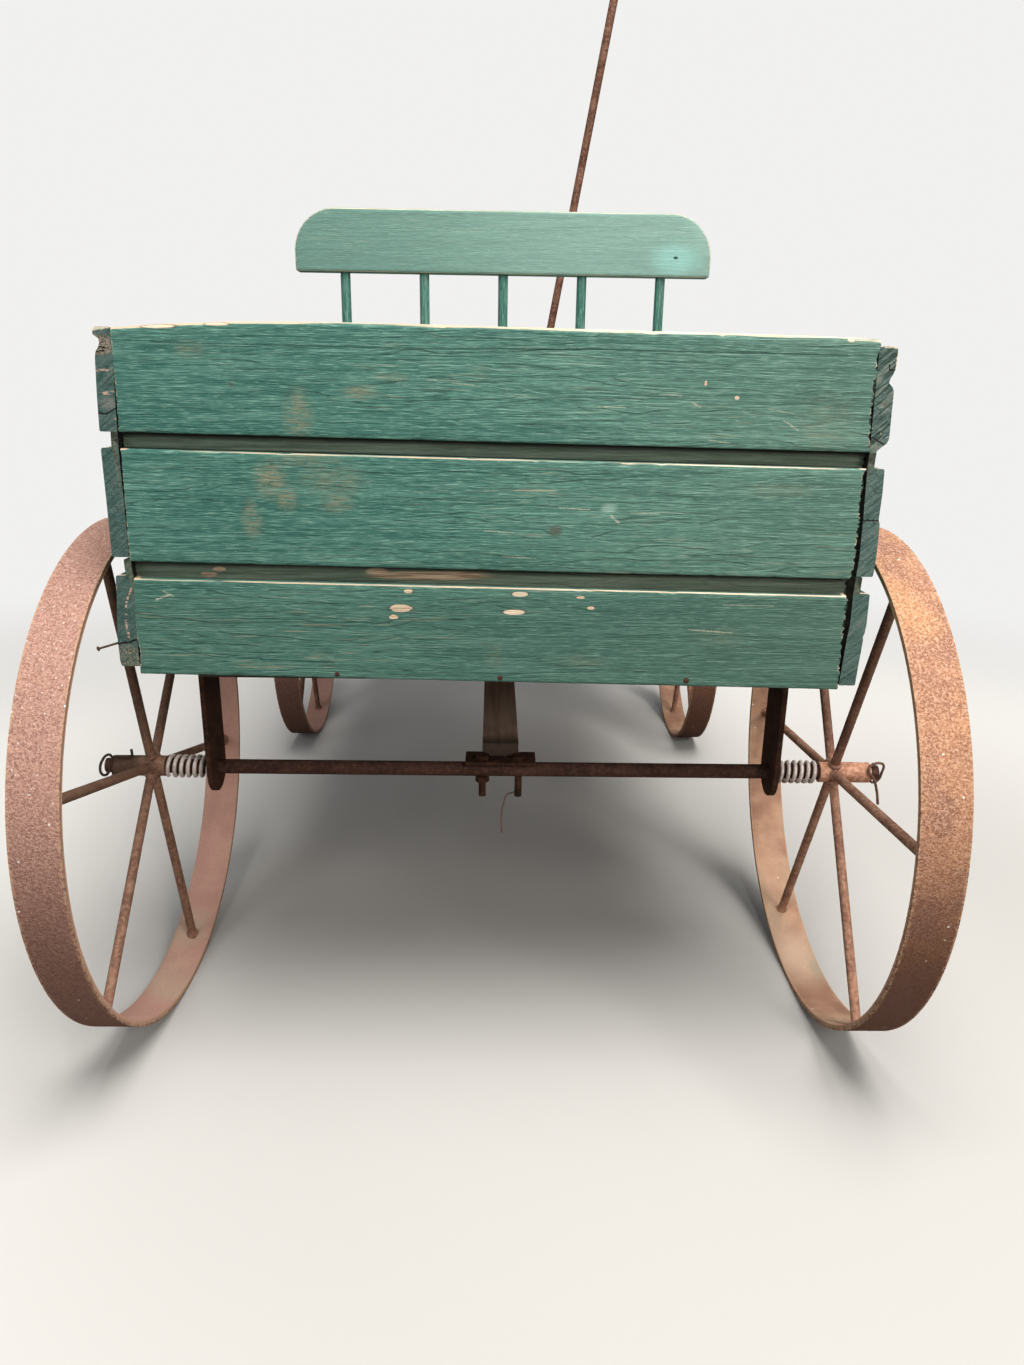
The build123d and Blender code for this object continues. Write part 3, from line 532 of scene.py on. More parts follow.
strap_iron = rusty_iron("strap_iron", (0.020, 0.007, 0.003), (0.052, 0.019, 0.009), (0.100, 0.044, 0.024))
rod_iron = rusty_iron("rod_iron", (0.085, 0.036, 0.022), (0.190, 0.092, 0.060), (0.330, 0.180, 0.125))
wire_iron = rusty_iron("wire_iron", (0.075, 0.036, 0.026), (0.200, 0.105, 0.070), (0.340, 0.210, 0.150),
                       size=700, shade_left=0.70)
nail_iron = rusty_iron("nail_iron", (0.030, 0.013, 0.008), (0.070, 0.030, 0.020), (0.130, 0.066, 0.044),
                       size=900)
zinc = rusty_iron("spring_zinc", (0.560, 0.470, 0.430), (0.780, 0.690, 0.650), (0.900, 0.840, 0.800),
                  pits=0.2, size=600, rough=(0.34, 0.55), shine=0.3)


# Shapes
def add_object(name, data):
    """Puts a mesh, curve, lamp or camera in the scene."""
    added = bpy.data.objects.new(name, data)
    bpy.context.scene.collection.objects.link(added)
    return added


def new_mesh(name, verts, faces):
    mesh = bpy.data.meshes.new(name)
    mesh.from_pydata(verts, [], faces)
    return mesh


def keep_mesh(name, mesh, body, slot, *stands_for):
    """Puts a finished mesh on its body in place of the plain nodes that it stands for."""
    piece = add_object(name, mesh)
    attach(piece, body)
    if stands_for:
        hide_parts(*stands_for)


def keep_values(mesh, name, domain, values, kind="FLOAT"):
    """Keeps a value for each point, corner or face on a mesh, for its material or tree to read."""
    field = "value" if kind == "FLOAT" else "vector"
    mesh.attributes.new(name, kind, domain).data.foreach_set(field, values)


def run_tree(name, source, tree, sizes):
    """Runs a node tree on a mesh or curve, and returns its result as a plain mesh."""
    holder = add_object(name + "_source", source)
    modifier = holder.modifiers.new("form", "NODES")
    modifier.node_group = tree
    for item in tree.interface.items_tree:
        if item.item_type == "SOCKET" and item.in_out == "INPUT" and item.name in sizes:
            modifier[item.identifier] = sizes[item.name]
    bpy.context.view_layer.update()
    result = bpy.data.meshes.new_from_object(holder.evaluated_get(bpy.context.evaluated_depsgraph_get()))
    result.name = name
    holder.modifiers.clear()
    bpy.data.objects.remove(holder)
    return result


def grow(name, source, tree, sizes, body, slot, *stands_for):
    """Runs a node tree on a mesh or curve, and keeps its result as a piece."""
    keep_mesh(name, run_tree(name, source, tree, sizes), body, slot, *stands_for)


class Tree:
    """A geometry node tree with named sizes."""

    def __init__(self, name, sizes):
        self.tree = bpy.data.node_groups.new(name, "GeometryNodeTree")
        face = self.tree.interface
        face.new_socket("Geometry", in_out="INPUT", socket_type="NodeSocketGeometry")
        for label, value in sizes.items():
            kind = "NodeSocketInt" if isinstance(value, int) else "NodeSocketFloat"
            face.new_socket(label, in_out="INPUT", socket_type=kind).default_value = value
        face.new_socket("Geometry", in_out="OUTPUT", socket_type="NodeSocketGeometry")
        self.given = self.tree.nodes.new("NodeGroupInput")
        self.result = self.tree.nodes.new("NodeGroupOutput")

    def size(self, label):
        return self.given.outputs[label]

    def step(self, kind, settings=None, **sockets):
        """Adds a node. A socket is given by its name, or as n0, n1 and so on by its number."""
        node = self.tree.nodes.new(kind)
        for key, value in (settings or {}).items():
            setattr(node, key, value)
        for key, value in sockets.items():
            numbered = key[0] == "n" and key[1:].isdigit()
            socket = node.inputs[int(key[1:]) if numbered else key.replace("_", " ")]
            if isinstance(value, bpy.types.NodeSocket):
                self.tree.links.new(value, socket)
            else:
                socket.default_value = value
        return node

    def math(self, how, first, second):
        return self.step("ShaderNodeMath", {"operation": how}, n0=first, n1=second).outputs[0]

    def noise(self, scale, detail):
        """Noise at each point's place, drawn by the tree's seed."""
        place = self.step("GeometryNodeInputPosition").outputs[0]
        return self.step("ShaderNodeTexNoise", {"noise_dimensions": "4D"}, Vector=place, W=self.size("Seed"),
                         Scale=scale, Detail=detail).outputs[0]

    def shift(self, geometry, way, amount):
        """Moves each point by an amount along its own direction."""
        push = self.step("ShaderNodeVectorMath", {"operation": "SCALE"}, n0=way, Scale=amount).outputs[0]
        return self.step("GeometryNodeSetPosition", Geometry=geometry, Offset=push).outputs[0]

    def rod(self, curve, sides):
        """A round wire along a curve, with closed ends and smooth shading."""
        bar = self.step("GeometryNodeCurvePrimitiveCircle", Resolution=sides,
                        Radius=self.math("MULTIPLY", self.size("Wire"), 0.5)).outputs["Curve"]
        tube = self.step("GeometryNodeCurveToMesh", Curve=curve, Profile_Curve=bar, Fill_Caps=True).outputs[0]
        return self.step("GeometryNodeSetShadeSmooth", Geometry=tube).outputs[0]

    def on_points(self, shape, **sockets):
        """A copy of a shape on each point, turned as the point says."""
        turn = self.step("FunctionNodeEulerToRotation", Euler=self.read("turn", "FLOAT_VECTOR")).outputs[0]
        return self.step("GeometryNodeInstanceOnPoints", Points=self.size("Geometry"), Instance=shape,
                         Rotation=turn, **sockets).outputs[0]

    def read(self, name, kind="FLOAT"):
        node = self.step("GeometryNodeInputNamedAttribute", {"data_type": kind}, Name=name)
        return node.outputs["Attribute"]

    def close(self, geometry, material):
        plain = self.step("GeometryNodeRealizeInstances", Geometry=geometry).outputs[0]
        dressed = self.step("GeometryNodeSetMaterial", Geometry=plain, Material=material).outputs[0]
        self.tree.links.new(dressed, self.result.inputs["Geometry"])
        return self.tree


def wear_tree(name, material):
    """Bites into a board's arrises where noise says so, deeper the higher the chip depth."""
    t = Tree(name, {"Chip depth": 1.2 * MM, "Chip size": 70.0, "Dent depth": 0.35 * MM, "Seed": 1.0})
    chips = t.noise(t.size("Chip size"), 3.0)
    dents = t.noise(320.0, 2.0)
    bite = t.step("ShaderNodeMapRange", {"interpolation_type": "SMOOTHSTEP"}, Value=chips, From_Min=0.56,
                  From_Max=0.70).outputs[0]
    bite = t.math("MULTIPLY", bite, t.size("Chip depth"))
    bite = t.math("ADD", bite, t.math("MULTIPLY", dents, t.size("Dent depth")))
    bite = t.math("MULTIPLY", bite, t.read("arris"))
    inward = t.math("MULTIPLY", bite, -1.0)
    return t.close(t.shift(t.size("Geometry"), t.read("outward", "FLOAT_VECTOR"), inward), material)


def corner_walk(points, rounds, step):
    """Walks a section's outline, rounding each corner by its radius, with points about a step apart."""
    path = []
    count = len(points)
    for i in range(count):
        here, before, after = Vector(points[i]), Vector(points[i - 1]), Vector(points[(i + 1) % count])
        if rounds[i] > 0:
            back, on = (before - here).normalized(), (after - here).normalized()
            half = back.angle(on) / 2
            reach = rounds[i] / (sin(half) / cos(half))
            start, end = here + back * reach, here + on * reach
            centre = here + (back + on).normalized() * (rounds[i] / sin(half))
            parts = 3 if rounds[i] < 5 * MM else 18
            for k in range(parts + 1):
                way = start.lerp(end, k / parts) - centre
                path.append(centre + way.normalized() * rounds[i])
        else:
            path.append(here)
    walked = []
    for i, here in enumerate(path):
        after = path[(i + 1) % len(path)]
        parts = max(1, round((after - here).length / step))
        walked += [here.lerp(after, k / parts) for k in range(parts)]
    return walked


def near(value, reach):
    """1 at nothing, falling to 0 at the reach."""
    return max(0.0, 1.0 - abs(value) / reach)


def ease(value):
    """0 to 1, with a soft start and end."""
    value = max(0.0, min(1.0, value))
    return value * value * (3 - 2 * value)


def reading(table, at):
    """Reads a table of (place, value) in millimetres between its lines."""
    mm = at / MM
    if mm <= table[0][0]:
        return table[0][1] * MM
    for (here, value), (after, next_value) in zip(table, table[1:]):
        if mm <= after:
            return (value + (next_value - value) * (mm - here) / (after - here)) * MM
    return table[-1][1] * MM


# How the old walls have moved. The box's rear end leans out of square, its right side down.
LEAN = 0.0123
LEAN_FROM = 60 * MM
LEAN_MIDDLE = 430 * MM
SINK = 0.9 * MM
# How far apart the points of a board's outline lie, and of the tailgate's
BOARD_STEP = 2.6 * MM
TAIL_STEP = 1.3 * MM
# Height, and how far the side walls' rear ends stand outwards there (mm)
SPLAY = {
    "left": ((320, 3.0), (330, 3.6), (343, 3.9), (365, 2.2), (386, 0.9), (392, 2.0), (435, 2.0), (466, 2.2),
             (479, 1.8), (496, 1.4), (522, 0.1), (543, 0.4)),
    "right": ((321, 0.8), (350, 1.9), (360, 2.7), (380, 2.0), (392, 2.3), (405, 2.7), (429, 1.7),
              (463, -0.2), (477, 0.1), (504, -1.1), (526, -2.0), (543, -2.3)),
}
SPLAY_FROM = 160 * MM
# How far a side board's top and bottom edges rise at its rear end, and over what length (mm)
END_LIFTS = {
    "left": {"top": (-6.8, 0, 220), "middle": (0, 2.7, 90), "bottom": (1.1, 5.3, 70)},
    "right": {"top": (-4.6, 0, 300), "middle": (0, 2.0, 90), "bottom": (1.4, 3.3, 70)},
}
# Place across the tailgate, and how far its top edge lies below a straight line there (mm)
TAIL_CROWN = ((-243, 7.8), (-236, 7.0), (-226, 6.1), (-200, 3.8), (-162, 1.6), (-110, 0.4), (-70, 0),
              (180, 0), (215, 0.2), (230, 0.9), (243, 1.8))
# Height, and how far the tailgate's ends reach past its planks' even length (mm)
TAIL_LEFT_END = ((320, 1.3), (332, 0.2), (345, 1.5), (380, 1.4), (430, 0.9), (470, 0.5), (500, 0.1),
                 (540, 0.0))
TAIL_RIGHT_END = ((321, -0.4), (342, -0.8), (376, -2.2), (385, -1.6), (396, -0.9), (429, -0.9), (442, -2.1),
                  (462, -1.8), (473, -0.7), (485, -1.6), (498, -2.7), (520, -3.3), (540, -3.0))
# Where a side wall's end is split or broken off: which end, how deep at each height, and how far along (mm)
BREAKS = {
    "left_top": (
        ("rear", ((520.5, 0), (523.5, 0.4), (526, 1.6), (527.6, 3.4), (531.6, 3.1), (533.2, 0.4), (534, 0)),
         24),
        ("rear", ((471.5, 2.6), (473.5, 0.9), (475.5, 0.0)), 14),
    ),
    "left_middle": (("front", ((400, 0), (402, 1.2), (410, 1.2), (412, 0)), 18),),
    "left_bottom": (
        ("rear", ((324, 1.4), (326, 0.5), (328, 0.0)), 22),
        ("front", ((360, 0), (361, 1.0), (364, 0)), 15),
    ),
    "right_top": (
        ("rear", ((509.5, 0), (510.8, 1.2), (513.6, 3.8), (517, 1.8), (520.6, 0.5), (522, 0)), 26),
        ("rear", ((469, 6.4), (473, 6.0), (475.7, 1.9), (478, 0.3), (480, 0)), 22),
    ),
    "right_middle": (("rear", ((428.2, 0), (428.8, 0.9), (429.4, 0.9), (446, 0)), 30),),
    "right_bottom": (
        ("rear", ((349, 0), (351, 0.3), (353, 1.4), (353.6, 0)), 24),
        ("front", ((340, 0), (346, 1.4), (352, 0)), 16),
    ),
}


def leaned(x, y, z):
    """Where a place on the box's walls lies, now that its rear end leans."""
    share = ease((LEAN_FROM - y) / (LEAN_FROM - TAIL_Y))
    return x + LEAN * (z - LEAN_MIDDLE) * share, y, z - (SINK + LEAN * x) * share


def side_place(side, sign, row):
    """Returns where a point of a side board lies, from its depth, height and place along the wagon."""
    low, high = (c.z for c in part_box(f"side_{side}_{row}"))
    top_lift, low_lift, length = (v * MM for v in END_LIFTS[side][row])
    breaks = BREAKS.get(f"{side}_{row}", ())

    def place(depth, height, y):
        share = height / (high - low)
        fade = ease(1 - (y - TAIL_Y) / length)
        z = low + height + (low_lift + (top_lift - low_lift) * share) * fade
        x, y, z = leaned(sign * HALF_BOX, y, z)
        out = reading(SPLAY[side], z) * ease(1 - (y - TAIL_Y) / SPLAY_FROM)
        if side == "left" and row == "bottom":
            out *= 1 - 0.5 * depth / BOARD
        for end, table, reach in breaks:
            from_end = y - TAIL_Y if end == "rear" else NOSE_Y - y
            if table[0][0] < z / MM < table[-1][0]:
                depth = max(depth, reading(table, z) * ease(1.3 - from_end / (reach * MM)))
        if y < 0:
            depth *= 1 + (0.10 if (side, row) == ("right", "top") else 0.05) * fade
        return Vector((x + sign * (out - depth), y, z))

    return place


def end_place(wall, row):
    """Returns where a point of a tailgate or front plank lies, from its depth, height and place across."""
    low, high = (c.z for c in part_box(f"{wall}_{row}"))
    rng = random.Random(wall + row)
    steps = 90
    ragged = [rng.uniform(-1.7, 0.6) * MM for _ in range(steps)]

    def place(depth, height, x):
        if wall == "front":
            return Vector((x, NOSE_Y - depth, low + height))
        drop = reading(TAIL_CROWN, x) * height / (high - low) if row == "top" else 0.0
        table = TAIL_LEFT_END if x < 0 else TAIL_RIGHT_END
        from_end = HALF_TAIL - abs(x)
        reach = reading(table, low + height) * ease(1 - from_end / (12 * MM))
        tooth = ragged[int(height / TAIL_STEP) % steps] * (0.3 if x < 0 else 1.0)
        reach += tooth * ease(1 - from_end / (4 * MM))
        run = x + (1 if x > 0 else -1) * reach
        x, y, z = leaned(run, TAIL_Y, low + height - drop)
        return Vector((x, y + depth, z))

    return place


def ring_faces(rings, count):
    """The four-sided faces between closed rings that have a count of points each."""
    quads = []
    for i in range(rings - 1):
        for k in range(count):
            here, after = i * count + k, i * count + (k + 1) % count
            quads.append((here, after, after + count, here + count))
    return quads


def plank(name, row, ends, place, outside_first, seed, material, step=BOARD_STEP, end_wear=0.2,
          wall_top=0.75):
    """A lapped wall board with rounded, worn arrises: one closed mesh, shaped by its place function."""
    low, high = (c.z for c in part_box(name))
    top = high - low
    face = FACES[row]
    lap = [] if row == "top" else [(GROOVE, face), (GROOVE, top)]
    corners = [(0, 0), (0, face), *lap, (BOARD, top), (BOARD, 0)]
    rounds = [1.0 * MM, 1.3 * MM] + [0.0] * len(lap) + [0.6 * MM, 0.5 * MM]
    if row == "top":
        rounds[1], rounds[2] = 2.4 * MM, 1.2 * MM
    outline = corner_walk(corners, rounds, step)
    length = ends[1] - ends[0]
    parts = round(length / (3.6 * MM))
    close = (0, 0.6 * MM, 1.4 * MM, 2.6 * MM, 4.5 * MM, 7 * MM, 10 * MM)
    stations = list(close) + [10 * MM + (length - 20 * MM) * k / parts for k in range(1, parts)]
    stations += [length - s for s in reversed(close)]
    edge_reach, edge_wear = (2.6 * MM, 1.35) if row == "top" else (1.7 * MM, 1.15)
    verts, arris, outward, worn, grime_and_shade = [], [], [], [], []
    core = Vector((BOARD / 2, top / 2))
    for s in stations:
        at = ends[0] + s
        at_end = min(s, length - s)
        run_way = (place(core.x, core.y, at + MM) - place(core.x, core.y, at - MM)).normalized()
        out = (place(0.0, core.y, at) - place(core.x, core.y, at)).normalized()
        for depth, height in outline:
            verts.append(tuple(place(depth, height, at)))
            from_top_edge = hypot(depth, height - face)
            top_edge = near(from_top_edge, 4.2 * MM)
            low_edge = near(hypot(depth, height), 3.6 * MM)
            back_edge = near(hypot(depth - BOARD, height - top), 3.6 * MM) if row == "top" else 0
            tip = near(at_end, 3.4 * MM) * near(max(0.0, depth - MM), 3 * MM)
            sharp = max(top_edge, low_edge * 0.7, back_edge, tip * 0.3)
            arris.append(sharp if at_end > 3 * MM else sharp * 0.5)
            way = out * (top_edge + low_edge + tip) - out * back_edge
            way += Vector((0, 0, 1)) * (top_edge + back_edge - low_edge)
            way += run_way * (tip if s > length / 2 else -tip)
            outward.append(way.normalized() if way.length > 0 else out)
            flat_top = wall_top if row == "top" and height > top - 0.5 * MM and depth > 1 * MM else 0.0
            shelf = 1.0 if row != "top" and abs(height - face) < 0.4 * MM and depth < GROOVE else 0.0
            fringe = near(at_end, 2.2 * MM) * near(depth, MM)
            worn.append(max(near(from_top_edge, edge_reach) * edge_wear, low_edge * 0.45, flat_top,
                            fringe * end_wear, back_edge * 0.9, shelf * near(at_end, 8 * MM) * 1.3))
            band = 0.0
            # Dirt and painted shade in the lap, darkest under the lip of the board above and at the lap's
            # foot; dirt, with a little painted shade, on the ledge's back part.
            if row != "top" and depth >= GROOVE - 0.2 * MM and depth < BOARD - MM and height > face:
                band = 0.5 + 0.5 * max(near(top - height, 5 * MM), near(height - face, 1.4 * MM))
            elif shelf and depth > 4 * MM:
                band = 0.7 * (1 - near(at_end, 8 * MM))
            # Painted shade: black on a side board's inner face near its ends, in the gap beside the tailgate
            # and front.
            if depth > BOARD - 0.3 * MM and at_end < 14 * MM and end_wear == 0:
                band = 1.0
            grime_and_shade.append(band)
    ring = len(outline)
    faces = ring_faces(len(stations), ring)
    faces += [tuple(range(ring))[::-1], tuple(range((len(stations) - 1) * ring, len(stations) * ring))]
    if not outside_first:
        faces = [face_verts[::-1] for face_verts in faces]
    sawn = [0.0] * (len(faces) - 2) + [1.0, 1.0]
    corner_worn = [worn[v] for quad in faces[:-2] for v in quad] + [0.0] * (2 * ring)
    corner_grime_and_shade = [grime_and_shade[v] for quad in faces[:-2] for v in quad]
    # The lap's part of each end gets dirt and painted shade too.
    end_grime_and_shade = [0.82 if row != "top" and spot.y > face + 0.4 * MM else 0.0 for spot in outline]
    corner_grime_and_shade += [end_grime_and_shade[v % ring] for cap in faces[-2:] for v in cap]
    mesh = new_mesh(name + "_blank", verts, faces)
    keep_values(mesh, "arris", "POINT", arris)
    keep_values(mesh, "outward", "POINT", [c for v in outward for c in v], "FLOAT_VECTOR")
    keep_values(mesh, "worn", "CORNER", corner_worn)
    keep_values(mesh, "grime_and_shade", "CORNER", corner_grime_and_shade)
    keep_values(mesh, "end_grain", "FACE", sawn)
    mesh.shade_smooth()
    mesh.set_sharp_from_angle(angle=radians(38))
    sizes = {"Chip depth": 1.2 * MM, "Chip size": 70.0, "Seed": seed}
    grow(f"plank_{name}", mesh, wear[material.name], sizes, "box", "painted_wood", name)


wear = {m.name: wear_tree("wear_" + m.name, m) for m in (paint["X"], side_paint, tail_paint)}

for k, row in enumerate(ROWS):
    for side, sign in SIDES:
        plank(f"side_{side}_{row}", row, (TAIL_Y, NOSE_Y), side_place(side, sign, row), sign > 0,
              k + 3.1 * sign + 4.4, side_paint, end_wear=0.0, wall_top=0.6)
    plank(f"tail_{row}", row, (-HALF_TAIL, HALF_TAIL), end_place("tail", row), True, 9.4 + k, tail_paint,
          step=TAIL_STEP, end_wear=0.6)
    plank(f"front_{row}", row, (-HALF_TAIL, HALF_TAIL), end_place("front", row), False, 14.2 + k, paint["X"])


def sweep_tree(name, material):
    """A round wire along a curve, with closed ends."""
    t = Tree(name, {"Wire": 2.2 * MM})
    return t.close(t.rod(t.size("Geometry"), 12), material)


def coil_tree(name, material):
    """A coil spring at each point, along the point's own direction."""
    t = Tree(name, {"Turns": 7.0, "Radius": 8.2 * MM, "Length": 36 * MM, "Wire": 3.2 * MM})
    radius = t.size("Radius")
    coil = t.step("GeometryNodeCurveSpiral", Resolution=28, Rotations=t.size("Turns"), Start_Radius=radius,
                  End_Radius=radius, Height=t.size("Length")).outputs[0]
    return t.close(t.on_points(t.rod(coil, 10)), material)


def blob_tree(name, material):
    """A lump of weld or a nail's head at each point, flattened along the point's own direction."""
    t = Tree(name, {"Width": 6.0 * MM, "Height": 2.0 * MM, "Lumps": 0.0, "Seed": 3.0})
    ball = t.step("GeometryNodeMeshIcoSphere", Radius=1.0, Subdivisions=3).outputs[0]
    wide = t.math("MULTIPLY", t.size("Width"), 0.5)
    size = t.step("ShaderNodeCombineXYZ", X=wide, Y=wide, Z=t.size("Height")).outputs[0]
    flat = t.step("GeometryNodeTransform", Geometry=ball, Scale=size).outputs[0]
    smooth = t.step("GeometryNodeSetShadeSmooth", Geometry=flat).outputs[0]
    placed = t.on_points(smooth, Scale=t.read("size"))
    plain = t.step("GeometryNodeRealizeInstances", Geometry=placed).outputs[0]
    lift = t.math("MULTIPLY", t.math("SUBTRACT", t.noise(260.0, 2.0), 0.5), t.size("Lumps"))
    way = t.step("GeometryNodeInputNormal").outputs[0]
    return t.close(t.shift(plain, way, lift), material)


def marked_points(name, places):
    """Points that carry a direction for their Z axis and a size."""
    mesh = new_mesh(name, [p for p, _, _ in places], [])
    turns = [c for _, way, _ in places for c in Vector(way).to_track_quat("Z", "X").to_euler()]
    keep_values(mesh, "turn", "POINT", turns, "FLOAT_VECTOR")
    keep_values(mesh, "size", "POINT", [s for _, _, s in places])
    return mesh


def bent_line(name, runs):
    """A smooth curve through each run of points, for wire."""
    curve = bpy.data.curves.new(name, "CURVE")
    curve.dimensions = "3D"
    for points in runs:
        spline = curve.splines.new("BEZIER")
        spline.bezier_points.add(len(points) - 1)
        for knot, point in zip(spline.bezier_points, points):
            knot.co = point
            knot.handle_left_type = knot.handle_right_type = "AUTO"
        spline.resolution_u = 8
    return curve


coils = coil_tree("coil_springs", zinc)
wires = sweep_tree("bent_wires", wire_iron)
welds = blob_tree("weld_beads", spoke_iron)
nails = blob_tree("nail_heads", nail_iron)

# Coil springs between the hangers and the hubs
for end, axle_y, axle_z, body in ENDS:
    seats = []
    for side, sign in SIDES:
        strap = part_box(f"hanger_{end}_{side}")
        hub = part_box(f"wheel_{end}_{side}_hub")
        start = strap[1].x if sign > 0 else strap[0].x
        stop = hub[0].x if sign > 0 else hub[1].x
        seats.append(((start + sign * 1.7 * MM, axle_y, axle_z), (sign, 0, 0), 1.0))
    length = abs(stop - start) - 3.6 * MM
    grow(f"coils_{end}", marked_points("seats", seats), coils, {"Length": length, "Turns": 6.4}, body,
         "zinc_spring", f"springs_{end}")

# Linch clips: each wire's bends, outwards from its hole in the axle, along the wagon and up (mm)
CLIP = ((5.3, -8.0, -25.3), (2.2, -8.8, -12), (-2.0, -9.8, -1.7), (-6.0, -9.8, 3.8), (-6.4, -8.0, 7.4),
        (-3.0, -5.6, 9.0), (4.0, -2.8, 9.6), (8.4, -1.2, 7.0), (8.0, -0.5, 0), (6.0, 0, -6.6), (2.6, 0, -8.8),
        (0, 0, -8.2), (0, 0, 8.4))
TWISTED_CLIP = ((-18.5, -3, 15.5), (-18.0, -4, 9.8), (-10, -6, 9.6), (-5.5, -6.5, 10.4), (-2.4, -6.8, 6.8),
                (-3.6, -7.2, 2.0), (0, -7.4, -2.5), (3.0, -7, -5.8), (6.5, -6, -5.8), (8.4, -4.5, -2.5),
                (6.5, -2, 5.4), (3, 0, 9.0), (0, 0, 8.4), (0, 0, -8.6))
for end, axle_y, axle_z, body in ENDS:
    runs = []
    for side, sign in SIDES:
        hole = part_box(f"axle_{end}")[1].x - 4 * MM
        bends = TWISTED_CLIP if (side, end) == ("left", "rear") else CLIP
        runs.append([(sign * (hole + x * MM), axle_y + y * MM, axle_z + z * MM) for x, y, z in bends])
    grow(f"clips_{end}", bent_line("clips", runs), wires, {"Wire": 2.2 * MM}, body, "gear_iron",
         f"linch_clips_{end}")

# Weld beads where the spokes meet the rim and the hub. Each wheel stands at its own turn, in degrees.
WHEEL_TURNS = {"rear_left": 15.0, "rear_right": 5.0, "front_left": 10.0, "front_right": 10.0}
# How far in from a rim's outside and out from an axle's middle the beads lie
RIM_WELD = 4.6 * MM
HUB_WELD = 9.2 * MM
for end, axle_y, axle_z, _ in ENDS:
    for side, sign in SIDES:
        middle = sum(c.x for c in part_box(f"wheel_{end}_{side}_rim")) / 2
        rng = random.Random(f"{end}{side}")
        centre = Vector((middle, axle_y, axle_z))
        spots = []
        for spoke in range(6):
            angle = radians(WHEEL_TURNS[f"{end}_{side}"] + 60 * spoke)
            way = Vector((0, -cos(angle), sin(angle)))
            at_rim = centre + way * (axle_z - RIM_WELD)
            spots.append((at_rim, -way, rng.uniform(1.5, 1.9)))
            cross = way.cross(Vector((1, 0, 0)))
            for _ in range(3):
                stray = cross * rng.uniform(-5, 5) * MM + Vector((rng.uniform(-4, 4) * MM, 0, 0))
                spots.append((at_rim + stray, -way, rng.uniform(0.5, 0.9)))
            spots.append((centre + way * HUB_WELD, way, rng.uniform(1.5, 1.75)))
        sizes = {"Width": 6.4 * MM, "Height": 1.7 * MM, "Lumps": 1.6 * MM, "Seed": rng.uniform(0, 9)}
        grow(f"welds_{end}_{side}", marked_points("welds", spots), welds, sizes, f"wheel_{end}_{side}",
             "wheel_iron")

# Nail heads in the walls, over the floor boards and the battens
TAIL_NAILS = ((-105.8, 321.3, 1.0), (3.7, 320.1, 1.1), (129.4, 319.6, 1.2))
heads = [((x * MM, TAIL_Y, z * MM), (0, -1, 0), size) for x, z, size in TAIL_NAILS]
heads += [((x * MM, NOSE_Y, 323 * MM), (0, 1, 0), 1.0) for x in (-190, -95, 0, 95, 190)]
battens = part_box("battens")
for row in ROWS:
    for side, sign in SIDES:
        put = side_place(side, sign, row)
        for share in (0.28, 0.72):
            for y in (TAIL_Y + 5.2 * MM, NOSE_Y - 5.2 * MM, battens[0].y + 15 * MM, battens[1].y - 15 * MM):
                heads.append((tuple(put(0.0, FACES[row] * share, y)), (sign, 0, 0), 0.9))
nail_size = {"Width": 3.4 * MM, "Height": 0.45 * MM, "Lumps": 0.3 * MM}
grow("nail_heads", marked_points("heads", heads), nails, nail_size, "box", "gear_iron")

# A nail worked loose from the left wall, and a scrap of wire on the axle bolt (mm)
LOOSE_NAIL = ((-264.6, -455.6, 336.4), (-258, -455.4, 338.4), (-250, -455.0, 340.8), (-243, -454.4, 342.4),
              (-237.5, -454.0, 343.6))
SCRAP = ((20, 3.2, -21), (16, 0.5, -21.5), (11, -1.5, -22.5), (8.0, -2.5, -30), (6.2, -2.0, -42),
         (6.8, -1.0, -58))
loose = [tuple(c * MM for c in bend) for bend in LOOSE_NAIL]
scrap = [(x * MM, REAR_Y + y * MM, REAR_Z + z * MM) for x, y, z in SCRAP]
head = (loose[0], Vector(loose[0]) - Vector(loose[1]), 1.0)
nail_size["Height"] = 0.8 * MM
grow("loose_nail", bent_line("loose_nail", [loose]), wires, {"Wire": 1.5 * MM}, "box", "gear_iron")
grow("loose_nail_head", marked_points("head", [head]), nails, nail_size, "box", "gear_iron")
grow("wire_scrap", bent_line("wire_scrap", [scrap]), wires, {"Wire": MM}, "box", "gear_iron")


# Numbers of the axes that the seat's boards are thin along, and the round of the seat back's top corners
Y_AXIS = 1
Z_AXIS = 2
SEAT_CORNER = 46 * MM


